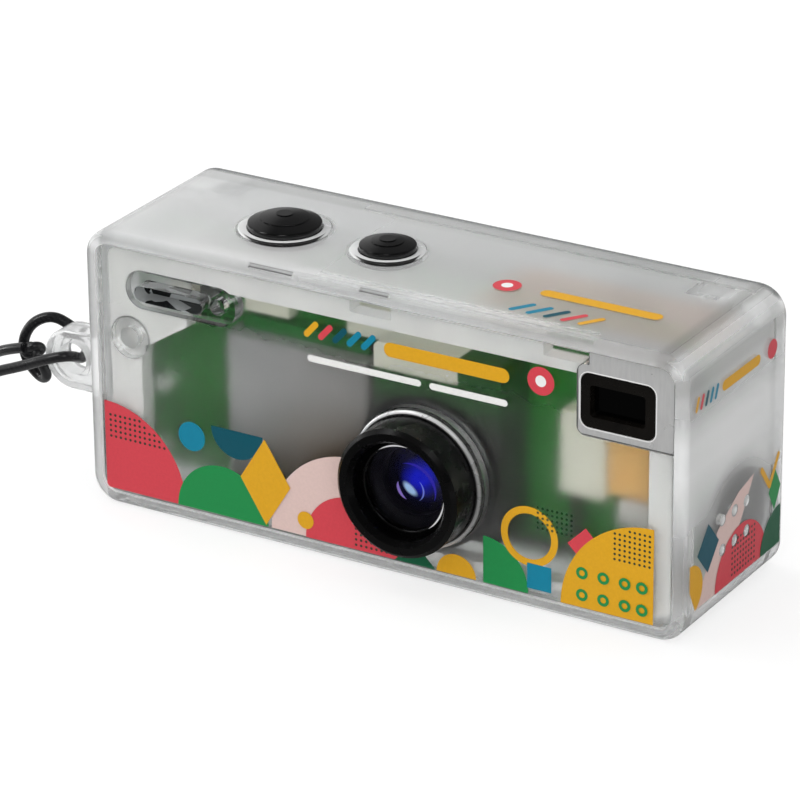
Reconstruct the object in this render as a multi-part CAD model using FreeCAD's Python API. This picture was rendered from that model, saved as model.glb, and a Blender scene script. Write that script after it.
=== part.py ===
import FreeCAD, Part
import math
import os

V = FreeCAD.Vector
X = V(1, 0, 0)
Y = V(0, 1, 0)
Z = V(0, 0, 1)

# Frame: the front faces -Y, +Z is up, +X is the viewer's right when facing the front.
# The origin lies in the middle of the flat underside. All sizes are in millimetres.

# Case
CASE_W = 58.0
CASE_D = 18.0
CASE_H = 25.4
CORNER_R = 2.5
EDGE_R = 0.7
WALL = 1.1
COVER_T = 1.2
COVER_RECESS = 0.3
COVER_GAP = 0.06
SEAT_GAP = 0.04
LEDGE_W = 0.6
LEDGE_T = 0.9
SLACK = 0.1
THROUGH = 1.0
LEAST_CORNER_R = 0.3
PRY_NOTCH_DEPTH = 0.4
PRY_NOTCH_LONG = 4.3
PRY_NOTCH_SHORT = 2.8
PRY_NOTCH_LEFT_X = -12.4
PRY_NOTCH_MIDDLE_X = -1.6

# Strap eyelet on the left wall
EYELET_R = 2.75
EYELET_HOLE_R = 1.45
EYELET_RIM = 0.75
EYELET_STEP = 0.3
EYELET_T = 2.5
EYELET_OUT = 2.9
EYELET_Z = 11.9
EYELET_SETBACK = 1.5

# Lens
LENS_X = 4.0
LENS_Z = 9.4
LENS_OUT = 3.7
BARREL_R = 5.75
BARREL_LIP = 1.35
BARREL_BEVEL = 0.35
BARREL_FLARE_DEPTH = 0.6
BARREL_SEAT_STEP = 0.4
FLANGE_R = 6.7
FLANGE_T = 0.8
TRIM_W = 0.42
TRIM_PROUD = 0.35
TRIM_T = 0.75
TRIM_BEVEL = 0.12
FRONT_LENS_DEPTH = 1.0
FRONT_LENS_EDGE = 0.8
FRONT_LENS_SAG = 0.75
GLASS_GAP = 0.05
SPACER_T = 0.9
SPACER_BORE_R = 2.9
SPACER_BEVEL = 0.7
REAR_LENS_R = 2.7
REAR_LENS_EDGE = 0.7
REAR_LENS_SAG = 0.7
CELL_LIP = 0.5
HOLDER_W = 12.2
HOLDER_TOP_GAP = 1.6
HOLDER_SWITCH_GAP = 0.2
HOLDER_BELOW = 5.5
HOLDER_EDGE_R = 0.6
FILTER_W = 6.0
FILTER_T = 0.3
SENSOR_W = 7.0
SENSOR_H = 6.0
SENSOR_T = 0.9
STOP_T = 0.3
STOP_BORE_R = 1.2

# Viewfinder in the upper right corner of the front
FINDER_W = 6.75
FINDER_H = 4.7
FINDER_R = 0.8
FINDER_SIDE = 1.85
FINDER_ABOVE = 1.95
FINDER_LEFT_BAND = 0.35
FINDER_BELOW_BAND = 0.8
FINDER_HOUSING_T = 3.1
FINDER_STEP_X = 1.1
FINDER_STEP_Z = 1.2
FINDER_FRAME_W = 0.85
FINDER_FRAME_H = 0.95
FINDER_GLASS_DEPTH = 0.7
FINDER_GLASS_T = 0.5
FINDER_CUP_T = 2.4
FINDER_CUP_FLOOR = 0.4
FINDER_CUP_PROUD = 0.05
FINDER_GLASS_R = 0.3

# Flash slot in the upper left corner of the front
FLASH_SLOT_W = 6.9
FLASH_SLOT_H = 1.4
FLASH_SLOT_FROM_SIDE = 7.2
FLASH_FROM_TOP = 4.05
FLASH_BOSS_H = 3.4
FLASH_BOSS_LEFT = 1.3
FLASH_BOSS_RIGHT = 2.9
FLASH_BOSS_T = 1.3
FLASH_DIMPLE_R = 0.75
FLASH_WINDOW_T = 0.6
FLASH_LED_W = 3.4
FLASH_LED_H = 1.9
FLASH_LENS_T = 0.8
FLASH_LENS_INSET = 0.4
FLASH_LENS_H = 1.14

# Post on the back of the front cover
POST_R = 1.9
POST_BORE_R = 0.95
POST_FROM_WALL = 2.7
POST_BELOW_FLASH = 4.65
POST_SUNK = 1.0

# Main board
BOARD_FRONT = 7.2
BOARD_T = 1.0
BOARD_LEFT_GAP = 0.4
BOARD_SPEAKER_GAP = 0.2
BOARD_FOOT_GAP = 0.6
BOARD_TOP_GAP = 1.5
BOARD_CHAMFER = 1.5

# Inner frame
FRAME_T = 1.6
FRAME_GAP = 0.1
FRAME_LEFT_W = 3.1
FRAME_RIGHT_W = 2.1
FRAME_FOOT_H = 0.7
FRAME_TOP_H = 1.9
FRAME_CHAMFER_W = 4.7
FRAME_CHAMFER_TOP = 4.0
FRAME_CHAMFER_H = 2.9
FRAME_NOTCH_X = -3.1
FRAME_NOTCH_W = 4.0
FRAME_NOTCH_DEPTH = 1.0
FRAME_STEP_W = 3.6
FRAME_POST_R = 0.8

# Top buttons and their switches
SHUTTER_FROM_SIDE = 14.0
POWER_X = -3.7
TOP_BUTTON_Y = -0.7
SHUTTER_R = 3.2
POWER_R = 2.45
BUTTON_PROUD = 0.62
BUTTON_BALL_R = 8.0
BUTTON_CROWN_INSET = 1.05
BUTTON_CROWN_STEP = 0.08
BUTTON_FIT = 0.1
BUTTON_FLANGE_W = 0.45
BUTTON_FLANGE_T = 0.5
BUTTON_EDGE_R = 0.15
BUTTON_TRAVEL = 0.5
BUTTON_ICON_R = 0.72
BUTTON_ICON_H = 0.04
COLLAR_W = 0.75
COLLAR_H = 0.14
COLLAR_ROUND_SHARE = 0.9
SWITCH_W = 4.4
SWITCH_T = 1.5
SWITCH_H = 3.3
PLUNGER_R = 0.45
PLUNGER_GAP = 0.1
PLUNGER_SUNK = 0.7
PLUNGER_STEM = 1.2

# Rear board, display and rear buttons
REAR_BOARD_T = 0.8
REAR_BOARD_RIGHT_GAP = 8.0
REAR_BOARD_BOSS_GAP = 0.3
HEADER_LEFT = -2.0
HEADER_W = 10.0
HEADER_H = 2.0
HEADER_FROM_EDGE = 0.5
DISPLAY_W = 28.0
DISPLAY_H = 14.4
DISPLAY_T = 2.0
DISPLAY_X = -6.5
DISPLAY_R = 0.5
DISPLAY_VIEW_W = 22.4
DISPLAY_VIEW_H = 11.2
DISPLAY_PANE_T = 0.9
DISPLAY_PANE_LIP = 0.8
GASKET_W = 1.1
GASKET_T = 0.7
REAR_BUTTON_FROM_SIDE = 12.7
REAR_BUTTON_R = 1.9
REAR_BUTTON_EDGE_R = 0.3
REAR_BUTTON_PROUD = 0.5
REAR_BUTTON_TRAVEL = 0.3
REAR_BUTTON_FLANGE_W = 0.45
REAR_BUTTON_FLANGE_T = 0.45
REAR_BUTTON_COUNT = 3
REAR_SWITCH_W = 3.4
REAR_SWITCH_T = 1.3
REAR_SWITCH_EDGE_GAP = 0.3
REAR_PLUNGER_R = 0.7
REAR_PLUNGER_SUNK = 0.55

# Case screws
SCREW_FROM_SIDE = 4.6
SCREW_FROM_WALL = 2.2
SCREW_R = 0.6
SCREW_HEAD_R = 1.05
SCREW_HEAD_T = 0.6
SCREW_END_GAP = 0.3
SCREW_SOCKET = 0.3
SCREW_SOCKET_SHARE = 0.65
SCREW_BOSS_R = 1.5
SCREW_BOSS_FLOOR = 0.5

# Battery and its connector
BATTERY_W = 14.2
BATTERY_T = 3.5
BATTERY_EDGE_R = 0.7
BATTERY_ABOVE_FOOT = 0.8
BATTERY_TAPE_H = 1.2
BATTERY_TAPE_INSET = 0.8
BATTERY_TAPE_GAP = 0.3
TAPE_SKIN = 0.1
CONNECTOR_FROM_SIDE = 10.8
CONNECTOR_W = 4.2
CONNECTOR_H = 7.4
CONNECTOR_T = 2.0
CAPACITOR_W = 4.1
CAPACITOR_H = 6.4
CAPACITOR_T = 1.9
CAPACITOR_RAISE = 0.8
SOCKET_W = 3.2
SOCKET_H = 2.4
SOCKET_T = 1.6
SOCKET_BELOW = 0.5
BLOCK_GAP = 0.15
BLOCK_EDGE_R = 0.2
WIRE_R = 0.3
WIRE_PITCH = 0.8
WIRE_BEND_R = 0.7
WIRE_CLEAR = 0.4
WIRE_COUNT = 2

# Chips
CHIP_W = 7.0
CHIP_T = 0.9
MEMORY_W = 5.0
MEMORY_H = 4.0
CHIP_X = 6.0
CHIP_RAISE = 1.8
MEMORY_X = -3.4
RESISTOR_W = 1.0
RESISTOR_H = 0.5
RESISTOR_T = 0.35
RESISTOR_PITCH = 1.6
RESISTOR_COUNT = 4
RESISTOR_ROWS = 2
CHIP_STEP = 0.6

# Card socket and card, left wall
CARD_W = 11.0
CARD_L = 15.0
CARD_T = 0.8
CARD_PROUD = 0.6
CARD_CLEAR = 0.06
CARD_SOCKET_SHEET = 0.25
CARD_SOCKET_L = 12.6
CARD_FROM_TOP = 2.25
CARD_CORNER_R = 0.4
CARD_GRIP_W = 0.35
CARD_GRIP_FROM_EDGE = 0.8
CARD_GRIP_SHORT = 1.5

# Port, left wall
PORT_W = 8.9
PORT_T = 3.2
PORT_L = 7.3
PORT_SHEET = 0.3
PORT_TONGUE_W = 6.6
PORT_TONGUE_T = 0.7
PORT_TONGUE_L = 4.4
PORT_BLOCK_L = 1.6

# Speaker and microphone, right wall
SPEAKER_R = 4.1
SPEAKER_T = 2.1
SPEAKER_BACK_GAP = 0.2
SPEAKER_Z = 7.2
SPEAKER_CONE_R = 3.1
SPEAKER_CONE_DEPTH = 0.5
SPEAKER_RING_T = 0.3
SPEAKER_RING_GAP = 0.3
SOUND_HOLE_R = 0.45
SOUND_PITCH_Y = 2.15
SOUND_PITCH_Z = 2.7
SOUND_Y = -0.2
SOUND_Z = 7.45
SOUND_COLUMNS = 3
SOUND_ROWS = 2
MICROPHONE_R = 0.8
MICROPHONE_T = 1.2
MICROPHONE_FROM_SIDE = 2.9
MICROPHONE_Z = 9.75

# Strap cord: its thickness and its hand-laid route, from the knot through the eyelet and back
CORD_R = 0.475
ARC_SHARE = 0.45
KNOT_R = 1.15
KNOT_STRETCH = 1.25
KNOT_AT = V(-36.75, -6.1, 11.15)
CORD_ROUTE = [
    V(-36.6, -6.1, 10.9),
    V(-35.4, -6.0, 9.4),
    V(-36.5, -5.2, 8.1),
    V(-38.3, -5.0, 9.3),
    V(-38.9, -4.9, 11.2),
    V(-38.0, -4.5, 13.1),
    V(-36.2, -3.9, 13.9),
    V(-34.5, -3.6, 13.2),
    V(-32.5, -3.6, 12.0),
    V(-31.6, -5.9, 11.4),
    V(-31.3, -8.2, 12.7),
    V(-33.3, -8.75, 12.2),
    V(-36.3, -8.5, 10.75),
    V(-39.9, -8.4, 9.3),
    V(-44.6, -8.7, 6.4),
    V(-49.4, -8.1, 2.7),
    V(-54.0, -6.2, 0.7),
    V(-57.6, -2.6, 0.55),
    V(-58.2, 2.4, 0.5),
    V(-54.6, 5.9, 0.55),
    V(-50.1, 4.4, 1.5),
    V(-46.9, 0.3, 4.3),
    V(-43.9, -3.6, 7.7),
    V(-40.9, -6.1, 10.4),
    V(-37.5, -6.5, 11.5),
]

# Places worked out from the sizes above
FRONT = -CASE_D / 2
BACK = CASE_D / 2
LEFT = -CASE_W / 2
RIGHT = CASE_W / 2
IN_LEFT = LEFT + WALL
IN_RIGHT = RIGHT - WALL
IN_FOOT = WALL
IN_TOP = CASE_H - WALL
MIDDLE_Z = CASE_H / 2
IN_R = CORNER_R - WALL
COVER_FRONT = FRONT + COVER_RECESS
FRONT_SEAT = COVER_FRONT + COVER_T
COVER_BACK = BACK - COVER_RECESS
REAR_SEAT = COVER_BACK - COVER_T
LENS_FRONT = FRONT - LENS_OUT
FLANGE_FRONT = FRONT_SEAT + SLACK
FLANGE_BACK = FLANGE_FRONT + FLANGE_T
BORE_R = BARREL_R - BARREL_LIP
SEAT_R = BORE_R - BARREL_SEAT_STEP
TRIM_R = BARREL_R + TRIM_W
LIGHT_R = REAR_LENS_R - CELL_LIP
SPEAKER_RIGHT = IN_RIGHT - SLACK
SPEAKER_LEFT = SPEAKER_RIGHT - SPEAKER_T
SPEAKER_Y = REAR_SEAT - LEDGE_T - SPEAKER_BACK_GAP - SPEAKER_R
BOARD_Y = FRONT + BOARD_FRONT
BOARD_BACK = BOARD_Y + BOARD_T
BOARD_LEFT = IN_LEFT + BOARD_LEFT_GAP
BOARD_RIGHT = SPEAKER_LEFT - BOARD_SPEAKER_GAP
BOARD_FOOT = IN_FOOT + BOARD_FOOT_GAP
BOARD_TOP = IN_TOP - BOARD_TOP_GAP
FRAME_FRONT = FRONT_SEAT + FRAME_GAP
FRAME_BACK = FRAME_FRONT + FRAME_T
FRAME_LEFT = IN_LEFT + LEDGE_W + FRAME_GAP
FRAME_RIGHT = IN_RIGHT - LEDGE_W - FRAME_GAP
FRAME_FOOT = IN_FOOT + LEDGE_W + FRAME_GAP
FRAME_TOP = IN_TOP - LEDGE_W - FRAME_GAP
HOUSING_RIGHT = IN_RIGHT - COVER_GAP
HOUSING_TOP = IN_TOP - COVER_GAP
FINDER_RIGHT = HOUSING_RIGHT - FINDER_SIDE
FINDER_LEFT = FINDER_RIGHT - FINDER_W
FINDER_TOP = HOUSING_TOP - FINDER_ABOVE
FINDER_FOOT = FINDER_TOP - FINDER_H
HOUSING_LEFT = FINDER_LEFT - FINDER_LEFT_BAND
HOUSING_FOOT = FINDER_FOOT - FINDER_BELOW_BAND
HOUSING_BACK = COVER_FRONT + FINDER_HOUSING_T
FLASH_SLOT_X = IN_LEFT + FLASH_SLOT_FROM_SIDE
FLASH_Z = IN_TOP - FLASH_FROM_TOP
POST_X = IN_LEFT + POST_FROM_WALL
POST_Z = FLASH_Z - POST_BELOW_FLASH
SHUTTER_X = IN_LEFT + SHUTTER_FROM_SIDE
SWITCH_Y = BOARD_Y - SWITCH_T / 2
BUTTON_FLANGE_TOP = IN_TOP - BUTTON_FIT
BUTTON_FLANGE_FOOT = BUTTON_FLANGE_TOP - BUTTON_FLANGE_T
PLUNGER_TOP = BUTTON_FLANGE_FOOT
SWITCH_TOP = PLUNGER_TOP - PLUNGER_STEM - BUTTON_TRAVEL - SLACK
SWITCH_FOOT = SWITCH_TOP - SWITCH_H
PLUNGER_FOOT = SWITCH_TOP - PLUNGER_SUNK
REAR_BOARD_BACK = REAR_SEAT - GASKET_T - DISPLAY_T
REAR_BOARD_FRONT = REAR_BOARD_BACK - REAR_BOARD_T
REAR_BOARD_MARGIN = SCREW_FROM_WALL + SCREW_BOSS_R + REAR_BOARD_BOSS_GAP
REAR_BOARD_FOOT = IN_FOOT + REAR_BOARD_MARGIN
REAR_BOARD_TOP = IN_TOP - REAR_BOARD_MARGIN
BOSS_FRONT = REAR_BOARD_FRONT + SLACK
DISPLAY_Z = MIDDLE_Z
DISPLAY_BACK = REAR_BOARD_BACK + DISPLAY_T
REAR_SWITCH_BACK = REAR_BOARD_BACK + REAR_SWITCH_T
REAR_FLANGE_BACK = REAR_SEAT - BUTTON_FIT
REAR_FLANGE_FRONT = REAR_FLANGE_BACK - REAR_BUTTON_FLANGE_T
REAR_BUTTON_X = IN_RIGHT - REAR_BUTTON_FROM_SIDE
REAR_BUTTON_LOW = REAR_BOARD_FOOT + REAR_SWITCH_EDGE_GAP + REAR_SWITCH_W / 2
REAR_BUTTON_HIGH = REAR_BOARD_TOP - REAR_SWITCH_EDGE_GAP - REAR_SWITCH_W / 2
CARD_LEFT = LEFT - CARD_PROUD
PORT_Z = BOARD_FOOT + PORT_W / 2
PORT_Y = BOARD_BACK + PORT_T / 2
CARD_TOP = IN_TOP - CARD_FROM_TOP
CARD_FOOT = CARD_TOP - CARD_W
CARD_BACK = REAR_BOARD_FRONT - CARD_SOCKET_SHEET - CARD_CLEAR
CARD_Y = CARD_BACK - CARD_T
HOLDER_FRONT = FLANGE_BACK
HOLDER_LEFT = POWER_X + SWITCH_W / 2 + HOLDER_SWITCH_GAP
HOLDER_TOP = FRAME_TOP - FRAME_TOP_H - HOLDER_TOP_GAP
BATTERY_FRONT = BOARD_Y - TAPE_SKIN - BATTERY_T
BATTERY_RIGHT = HOLDER_LEFT - 2 * (WIRE_CLEAR + WIRE_R)
BATTERY_LEFT = BATTERY_RIGHT - BATTERY_W
BATTERY_FOOT = BOARD_FOOT + BATTERY_ABOVE_FOOT
BATTERY_TOP = SWITCH_FOOT - BATTERY_TAPE_GAP - BATTERY_TAPE_H
CONNECTOR_X = IN_RIGHT - CONNECTOR_FROM_SIDE
CONNECTOR_Z = MIDDLE_Z
CHIP_Z = MIDDLE_Z + CHIP_RAISE
MICROPHONE_X = IN_LEFT + MICROPHONE_FROM_SIDE
TINY = 1e-6
NEAR = 0.01


def box(x0, x1, y0, y1, z0, z1):
    """A plain block between two values on each axis."""
    return Part.makeBox(x1 - x0, y1 - y0, z1 - z0, V(x0, y0, z0))


def rod(at, r, length, along=Y):
    """A cylinder from a point, along an axis."""
    return Part.makeCylinder(r, length, at, along)


def parallel_edges(solid, along):
    """The straight edges that run along an axis."""
    found = []
    for edge in solid.Edges:
        if edge.Curve.TypeId == "Part::GeomLine":
            if abs(abs(edge.tangentAt(edge.FirstParameter).dot(along)) - 1) < TINY:
                found.append(edge)
    return found


def rounded_slab(x0, x1, z0, z1, r, y0, y1):
    """A plate that lies across Y, with its four corners rounded."""
    plate = box(x0, x1, y0, y1, z0, z1)
    return plate.makeFillet(r, parallel_edges(plate, Y))


def slot_slab(x0, x1, z, h, y0, y1):
    """A plate that lies across Y, with half-round ends."""
    r = h / 2
    middle = box(x0 + r, x1 - r, y0, y1, z - r, z + r)
    left = rod(V(x0 + r, y0, z), r, y1 - y0)
    right = rod(V(x1 - r, y0, z), r, y1 - y0)
    return middle.fuse([left, right]).removeSplitter()


def turned(profile, x, z):
    """A ring or disc about the Y axis through (x, z), from (radius, y) pairs."""
    points = [V(x + r, y, z) for r, y in profile]
    face = Part.Face(Part.makePolygon(points + points[:1]))
    return face.revolve(V(x, 0, z), Y, 360)


def domed_disc(x, z, r, rim_front, edge, sag, bulge=-1):
    """A lens: a flat disc whose front face, or back face, bulges as part of a ball."""
    ball_r = (r * r + sag * sag) / (2 * sag)
    disc = rod(V(x, rim_front, z), r, edge)
    if bulge < 0:
        centre = V(x, rim_front - sag + ball_r, z)
        room = rod(V(x, rim_front - sag, z), r, sag)
    else:
        centre = V(x, rim_front + edge + sag - ball_r, z)
        room = rod(V(x, rim_front + edge, z), r, sag)
    cap = Part.makeSphere(ball_r, centre).common(room)
    return disc.fuse(cap).removeSplitter()


def soften(solid, r, keep):
    """Round the edges whose middle passes a test."""
    edges = [e for e in solid.Edges if keep(e.BoundBox)]
    return solid.makeFillet(r, edges)


# Case shell, covers and screws

def screw_places():
    """The four case screws, as (x, z)."""
    left = IN_LEFT + SCREW_FROM_SIDE
    right = IN_RIGHT - SCREW_FROM_SIDE
    low = IN_FOOT + SCREW_FROM_WALL
    high = IN_TOP - SCREW_FROM_WALL
    return [(x, z) for x in (left, right) for z in (low, high)]


def cavity(y0, y1, inset=0.0):
    """The room inside the walls, drawn in by an inset."""
    r = max(IN_R - inset, LEAST_CORNER_R)
    return rounded_slab(
        IN_LEFT + inset, IN_RIGHT - inset, IN_FOOT + inset, IN_TOP - inset, r, y0, y1
    )


def ledge(y0, y1):
    """The ring that a cover rests on."""
    return cavity(y0, y1).cut(cavity(y0, y1, LEDGE_W))


def screw_boss(x, z):
    """A boss behind the rear cover, joined to the nearest wall by a web."""
    y0 = BOSS_FRONT
    y1 = REAR_SEAT - SEAT_GAP
    length = y1 - y0
    boss = rod(V(x, y0, z), SCREW_BOSS_R, length)
    z0, z1 = (IN_FOOT, z) if z < MIDDLE_Z else (z, IN_TOP)
    web = box(x - SCREW_BOSS_R, x + SCREW_BOSS_R, y0, y1, z0, z1)
    bore = rod(V(x, y0 + SCREW_BOSS_FLOOR, z), SCREW_R + COVER_GAP, length)
    return boss.fuse(web).removeSplitter().cut(bore)


def eyelet():
    """The lug with a hole for the strap cord."""
    y0 = FRONT + EYELET_SETBACK
    centre = LEFT - EYELET_OUT
    lug = box(centre, LEFT + WALL / 2, y0, y0 + EYELET_T, EYELET_Z - EYELET_R, EYELET_Z + EYELET_R)
    lug = lug.fuse(rod(V(centre, y0, EYELET_Z), EYELET_R, EYELET_T)).removeSplitter()
    lug = soften(lug, EYELET_STEP, lambda b: b.XMax < LEFT + WALL / 4 and b.YLength < TINY)
    dish_r = EYELET_R - EYELET_RIM
    for y in (y0, y0 + EYELET_T - EYELET_STEP):
        lug = lug.cut(rod(V(centre, y, EYELET_Z), dish_r, EYELET_STEP))
    return lug.cut(rod(V(centre, y0, EYELET_Z), EYELET_HOLE_R, EYELET_T))


def collar(x, r):
    """The raised lip round a top button."""
    outer = r + BUTTON_FIT + COLLAR_W
    lip = rod(V(x, TOP_BUTTON_Y, CASE_H - WALL / 2), outer, WALL / 2 + COLLAR_H, Z)
    return soften(lip, COLLAR_H * COLLAR_ROUND_SHARE, lambda b: b.ZMin > CASE_H)


def finder_housing_shape(y0, y1, grow=0.0):
    """The outline of the viewfinder housing, grown by a gap where it meets the cover."""
    step_x = HOUSING_LEFT + FINDER_STEP_X - grow
    step_z = HOUSING_TOP - FINDER_STEP_Z
    left = HOUSING_LEFT - grow
    foot = HOUSING_FOOT - grow
    right = HOUSING_RIGHT + grow
    top = HOUSING_TOP + grow
    body = box(left, right, y0, y1, foot, step_z)
    body = soften(body, FINDER_R, lambda b: b.XMax < left + NEAR and b.YLength > NEAR)
    cap = box(step_x, right, y0, y1, step_z - FINDER_R, top)
    corner_r = IN_R - COVER_GAP + grow
    cap = soften(cap, corner_r, lambda b: b.XMin > right - NEAR and b.ZMin > top - NEAR)
    return body.fuse(cap).removeSplitter()


def body_shell():
    outer = rounded_slab(LEFT, RIGHT, 0, CASE_H, CORNER_R, FRONT, BACK)
    outer = soften(outer, EDGE_R, lambda b: b.YLength < TINY)
    outer = outer.fuse([collar(SHUTTER_X, SHUTTER_R), collar(POWER_X, POWER_R)])
    shell = outer.cut(cavity(FRONT - THROUGH, BACK + THROUGH))
    front_ledge = ledge(FRONT_SEAT + SEAT_GAP, FRONT_SEAT + LEDGE_T)
    front_ledge = front_ledge.cut(
        finder_housing_shape(FRONT_SEAT, FRONT_SEAT + LEDGE_T, SLACK)
    )
    rear_ledge = ledge(REAR_SEAT - LEDGE_T, REAR_SEAT - SEAT_GAP)
    bosses = [screw_boss(x, z) for x, z in screw_places()]
    shell = shell.fuse([front_ledge, rear_ledge, eyelet()] + bosses)
    shell = shell.removeSplitter()
    holes = []
    for x, r in ((SHUTTER_X, SHUTTER_R), (POWER_X, POWER_R)):
        holes.append(rod(V(x, TOP_BUTTON_Y, IN_TOP - THROUGH), r + BUTTON_FIT, CASE_H, Z))
    for i in range(SOUND_COLUMNS):
        for j in range(SOUND_ROWS):
            y = SOUND_Y + (i - (SOUND_COLUMNS - 1) / 2) * SOUND_PITCH_Y
            z = SOUND_Z + (j - (SOUND_ROWS - 1) / 2) * SOUND_PITCH_Z
            holes.append(rod(V(IN_RIGHT - SLACK, y, z), SOUND_HOLE_R, WALL + 2 * SLACK, X))
    notch_z = CASE_H - PRY_NOTCH_DEPTH
    for x, length in (
        (PRY_NOTCH_LEFT_X, PRY_NOTCH_LONG),
        (PRY_NOTCH_MIDDLE_X, PRY_NOTCH_SHORT),
    ):
        holes.append(box(x, x + length, FRONT, FRONT + PRY_NOTCH_DEPTH, notch_z, CASE_H))
    gap = CARD_CLEAR
    x0 = LEFT - THROUGH
    x1 = IN_LEFT + THROUGH
    y1 = CARD_Y + CARD_T + gap
    holes.append(box(x0, x1, CARD_Y - gap, y1, CARD_FOOT - gap, CARD_TOP + gap))
    holes.append(port_outline(x0, x1, SLACK))
    return shell.cut(holes)


def front_cover():
    gap = COVER_GAP
    plate = cavity(COVER_FRONT, FRONT_SEAT, gap)
    x0 = FLASH_SLOT_X - FLASH_SLOT_W / 2
    x1 = FLASH_SLOT_X + FLASH_SLOT_W / 2
    boss = slot_slab(
        x0 - FLASH_BOSS_LEFT, x1 + FLASH_BOSS_RIGHT, FLASH_Z, FLASH_BOSS_H,
        FRONT_SEAT, FRONT_SEAT + FLASH_BOSS_T,
    )
    post_l = FRAME_GAP + POST_SUNK
    post = rod(V(POST_X, FRONT_SEAT, POST_Z), POST_R, post_l)
    cover = plate.fuse([boss, post]).removeSplitter()
    y0 = COVER_FRONT - THROUGH
    slot = slot_slab(x0, x1, FLASH_Z, FLASH_SLOT_H, y0, FRONT_SEAT + FLASH_BOSS_T + THROUGH)
    dimple_x = x1 + (FLASH_BOSS_RIGHT - FLASH_DIMPLE_R) / 2
    dimple = rod(V(dimple_x, FRONT_SEAT, FLASH_Z), FLASH_DIMPLE_R, FLASH_BOSS_T)
    bore = rod(V(POST_X, FRONT_SEAT, POST_Z), POST_BORE_R, post_l)
    lens_hole = rod(V(LENS_X, y0, LENS_Z), TRIM_R + SLACK, COVER_T + 2 * THROUGH)
    finder = finder_housing_shape(y0, FRONT_SEAT + THROUGH, gap)
    return cover.cut([slot, dimple, bore, lens_hole, finder])


def rear_cover():
    plate = cavity(REAR_SEAT, COVER_BACK, COVER_GAP)
    y0 = REAR_SEAT - THROUGH
    y1 = COVER_BACK + THROUGH
    cuts = [display_opening(0, y0, y1)]
    cuts.append(display_opening(DISPLAY_PANE_LIP, COVER_BACK - DISPLAY_PANE_T, y1))
    for z in rear_button_heights():
        cuts.append(rod(V(REAR_BUTTON_X, y0, z), REAR_BUTTON_R + BUTTON_FIT, y1 - y0))
    head_y = COVER_BACK - SCREW_HEAD_T
    for x, z in screw_places():
        cuts.append(rod(V(x, y0, z), SCREW_R + SLACK, y1 - y0))
        cuts.append(rod(V(x, head_y, z), SCREW_HEAD_R + SLACK, y1 - head_y))
    return plate.cut(cuts)


def case_screws():
    """Four identical screws."""
    screws = []
    head_y = COVER_BACK - SCREW_HEAD_T
    tip = BOSS_FRONT + SCREW_BOSS_FLOOR + SCREW_END_GAP
    for x, z in screw_places():
        head = rod(V(x, head_y, z), SCREW_HEAD_R, SCREW_HEAD_T)
        shaft = rod(V(x, tip, z), SCREW_R, head_y - tip)
        screw = head.fuse(shaft).removeSplitter()
        across = SCREW_HEAD_R * SCREW_SOCKET_SHARE
        slot_w = SCREW_SOCKET / 2
        y0 = COVER_BACK - SCREW_SOCKET
        bar = box(x - across, x + across, y0, COVER_BACK, z - slot_w, z + slot_w)
        cross = box(x - slot_w, x + slot_w, y0, COVER_BACK, z - across, z + across)
        screws.append(screw.cut([bar, cross]))
    return Part.makeCompound(screws)


# Inner frame behind the front cover

def inner_frame():
    left = FRAME_LEFT + FRAME_LEFT_W
    right = FRAME_RIGHT - FRAME_RIGHT_W
    foot = FRAME_FOOT + FRAME_FOOT_H
    top = FRAME_TOP - FRAME_TOP_H
    y0, y1 = FRAME_FRONT, FRAME_BACK
    r = max(IN_R - LEDGE_W - FRAME_GAP, LEAST_CORNER_R)
    frame = rounded_slab(FRAME_LEFT, FRAME_RIGHT, FRAME_FOOT, FRAME_TOP, r, y0, y1)
    chamfer_z = top - FRAME_CHAMFER_TOP
    window = Part.Face(Part.makePolygon([
        V(left, y0, foot),
        V(right, y0, foot),
        V(right, y0, top),
        V(left + FRAME_CHAMFER_W, y0, top),
        V(left + FRAME_CHAMFER_W, y0, chamfer_z),
        V(left, y0, chamfer_z - FRAME_CHAMFER_H),
        V(left, y0, foot),
    ])).extrude(V(0, FRAME_T, 0))
    cuts = [window]
    notch_z = FRAME_TOP - FRAME_NOTCH_DEPTH
    for x0, width in (
        (FRAME_NOTCH_X, FRAME_NOTCH_W),
        (HOUSING_LEFT - FRAME_STEP_W, FRAME_STEP_W + FINDER_STEP_X),
    ):
        cuts.append(box(x0, x0 + width, y0, y1, notch_z, FRAME_TOP))
    cuts.append(finder_housing_shape(y0, y1, 2 * SLACK))
    cuts.append(rod(V(POST_X, y0, POST_Z), POST_R + SLACK, POST_SUNK + SLACK))
    x0 = FLASH_SLOT_X - FLASH_SLOT_W / 2 - FLASH_BOSS_LEFT - SLACK
    x1 = FLASH_SLOT_X + FLASH_SLOT_W / 2 + FLASH_BOSS_RIGHT + SLACK
    cuts.append(slot_slab(x0, x1, FLASH_Z, FLASH_BOSS_H + 2 * SLACK, y0, y1))
    frame = frame.cut(cuts)
    posts = []
    post_l = BOARD_Y - FRAME_BACK
    for x, z in frame_posts():
        posts.append(rod(V(x, FRAME_BACK, z), FRAME_POST_R, post_l))
    return frame.fuse(posts).removeSplitter()


def frame_posts():
    """The posts that reach from the frame to the board, as (x, z)."""
    left = FRAME_LEFT + FRAME_LEFT_W / 2
    inner = FRAME_LEFT + FRAME_LEFT_W
    right = BOARD_RIGHT - BOARD_CHAMFER - FRAME_POST_R
    low = FRAME_FOOT + 2 * FRAME_POST_R
    return [(left, low), (inner, POST_Z + POST_R + FRAME_POST_R), (right, FRAME_FOOT + FRAME_POST_R)]


# Lens assembly, named from the front to the back

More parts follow.
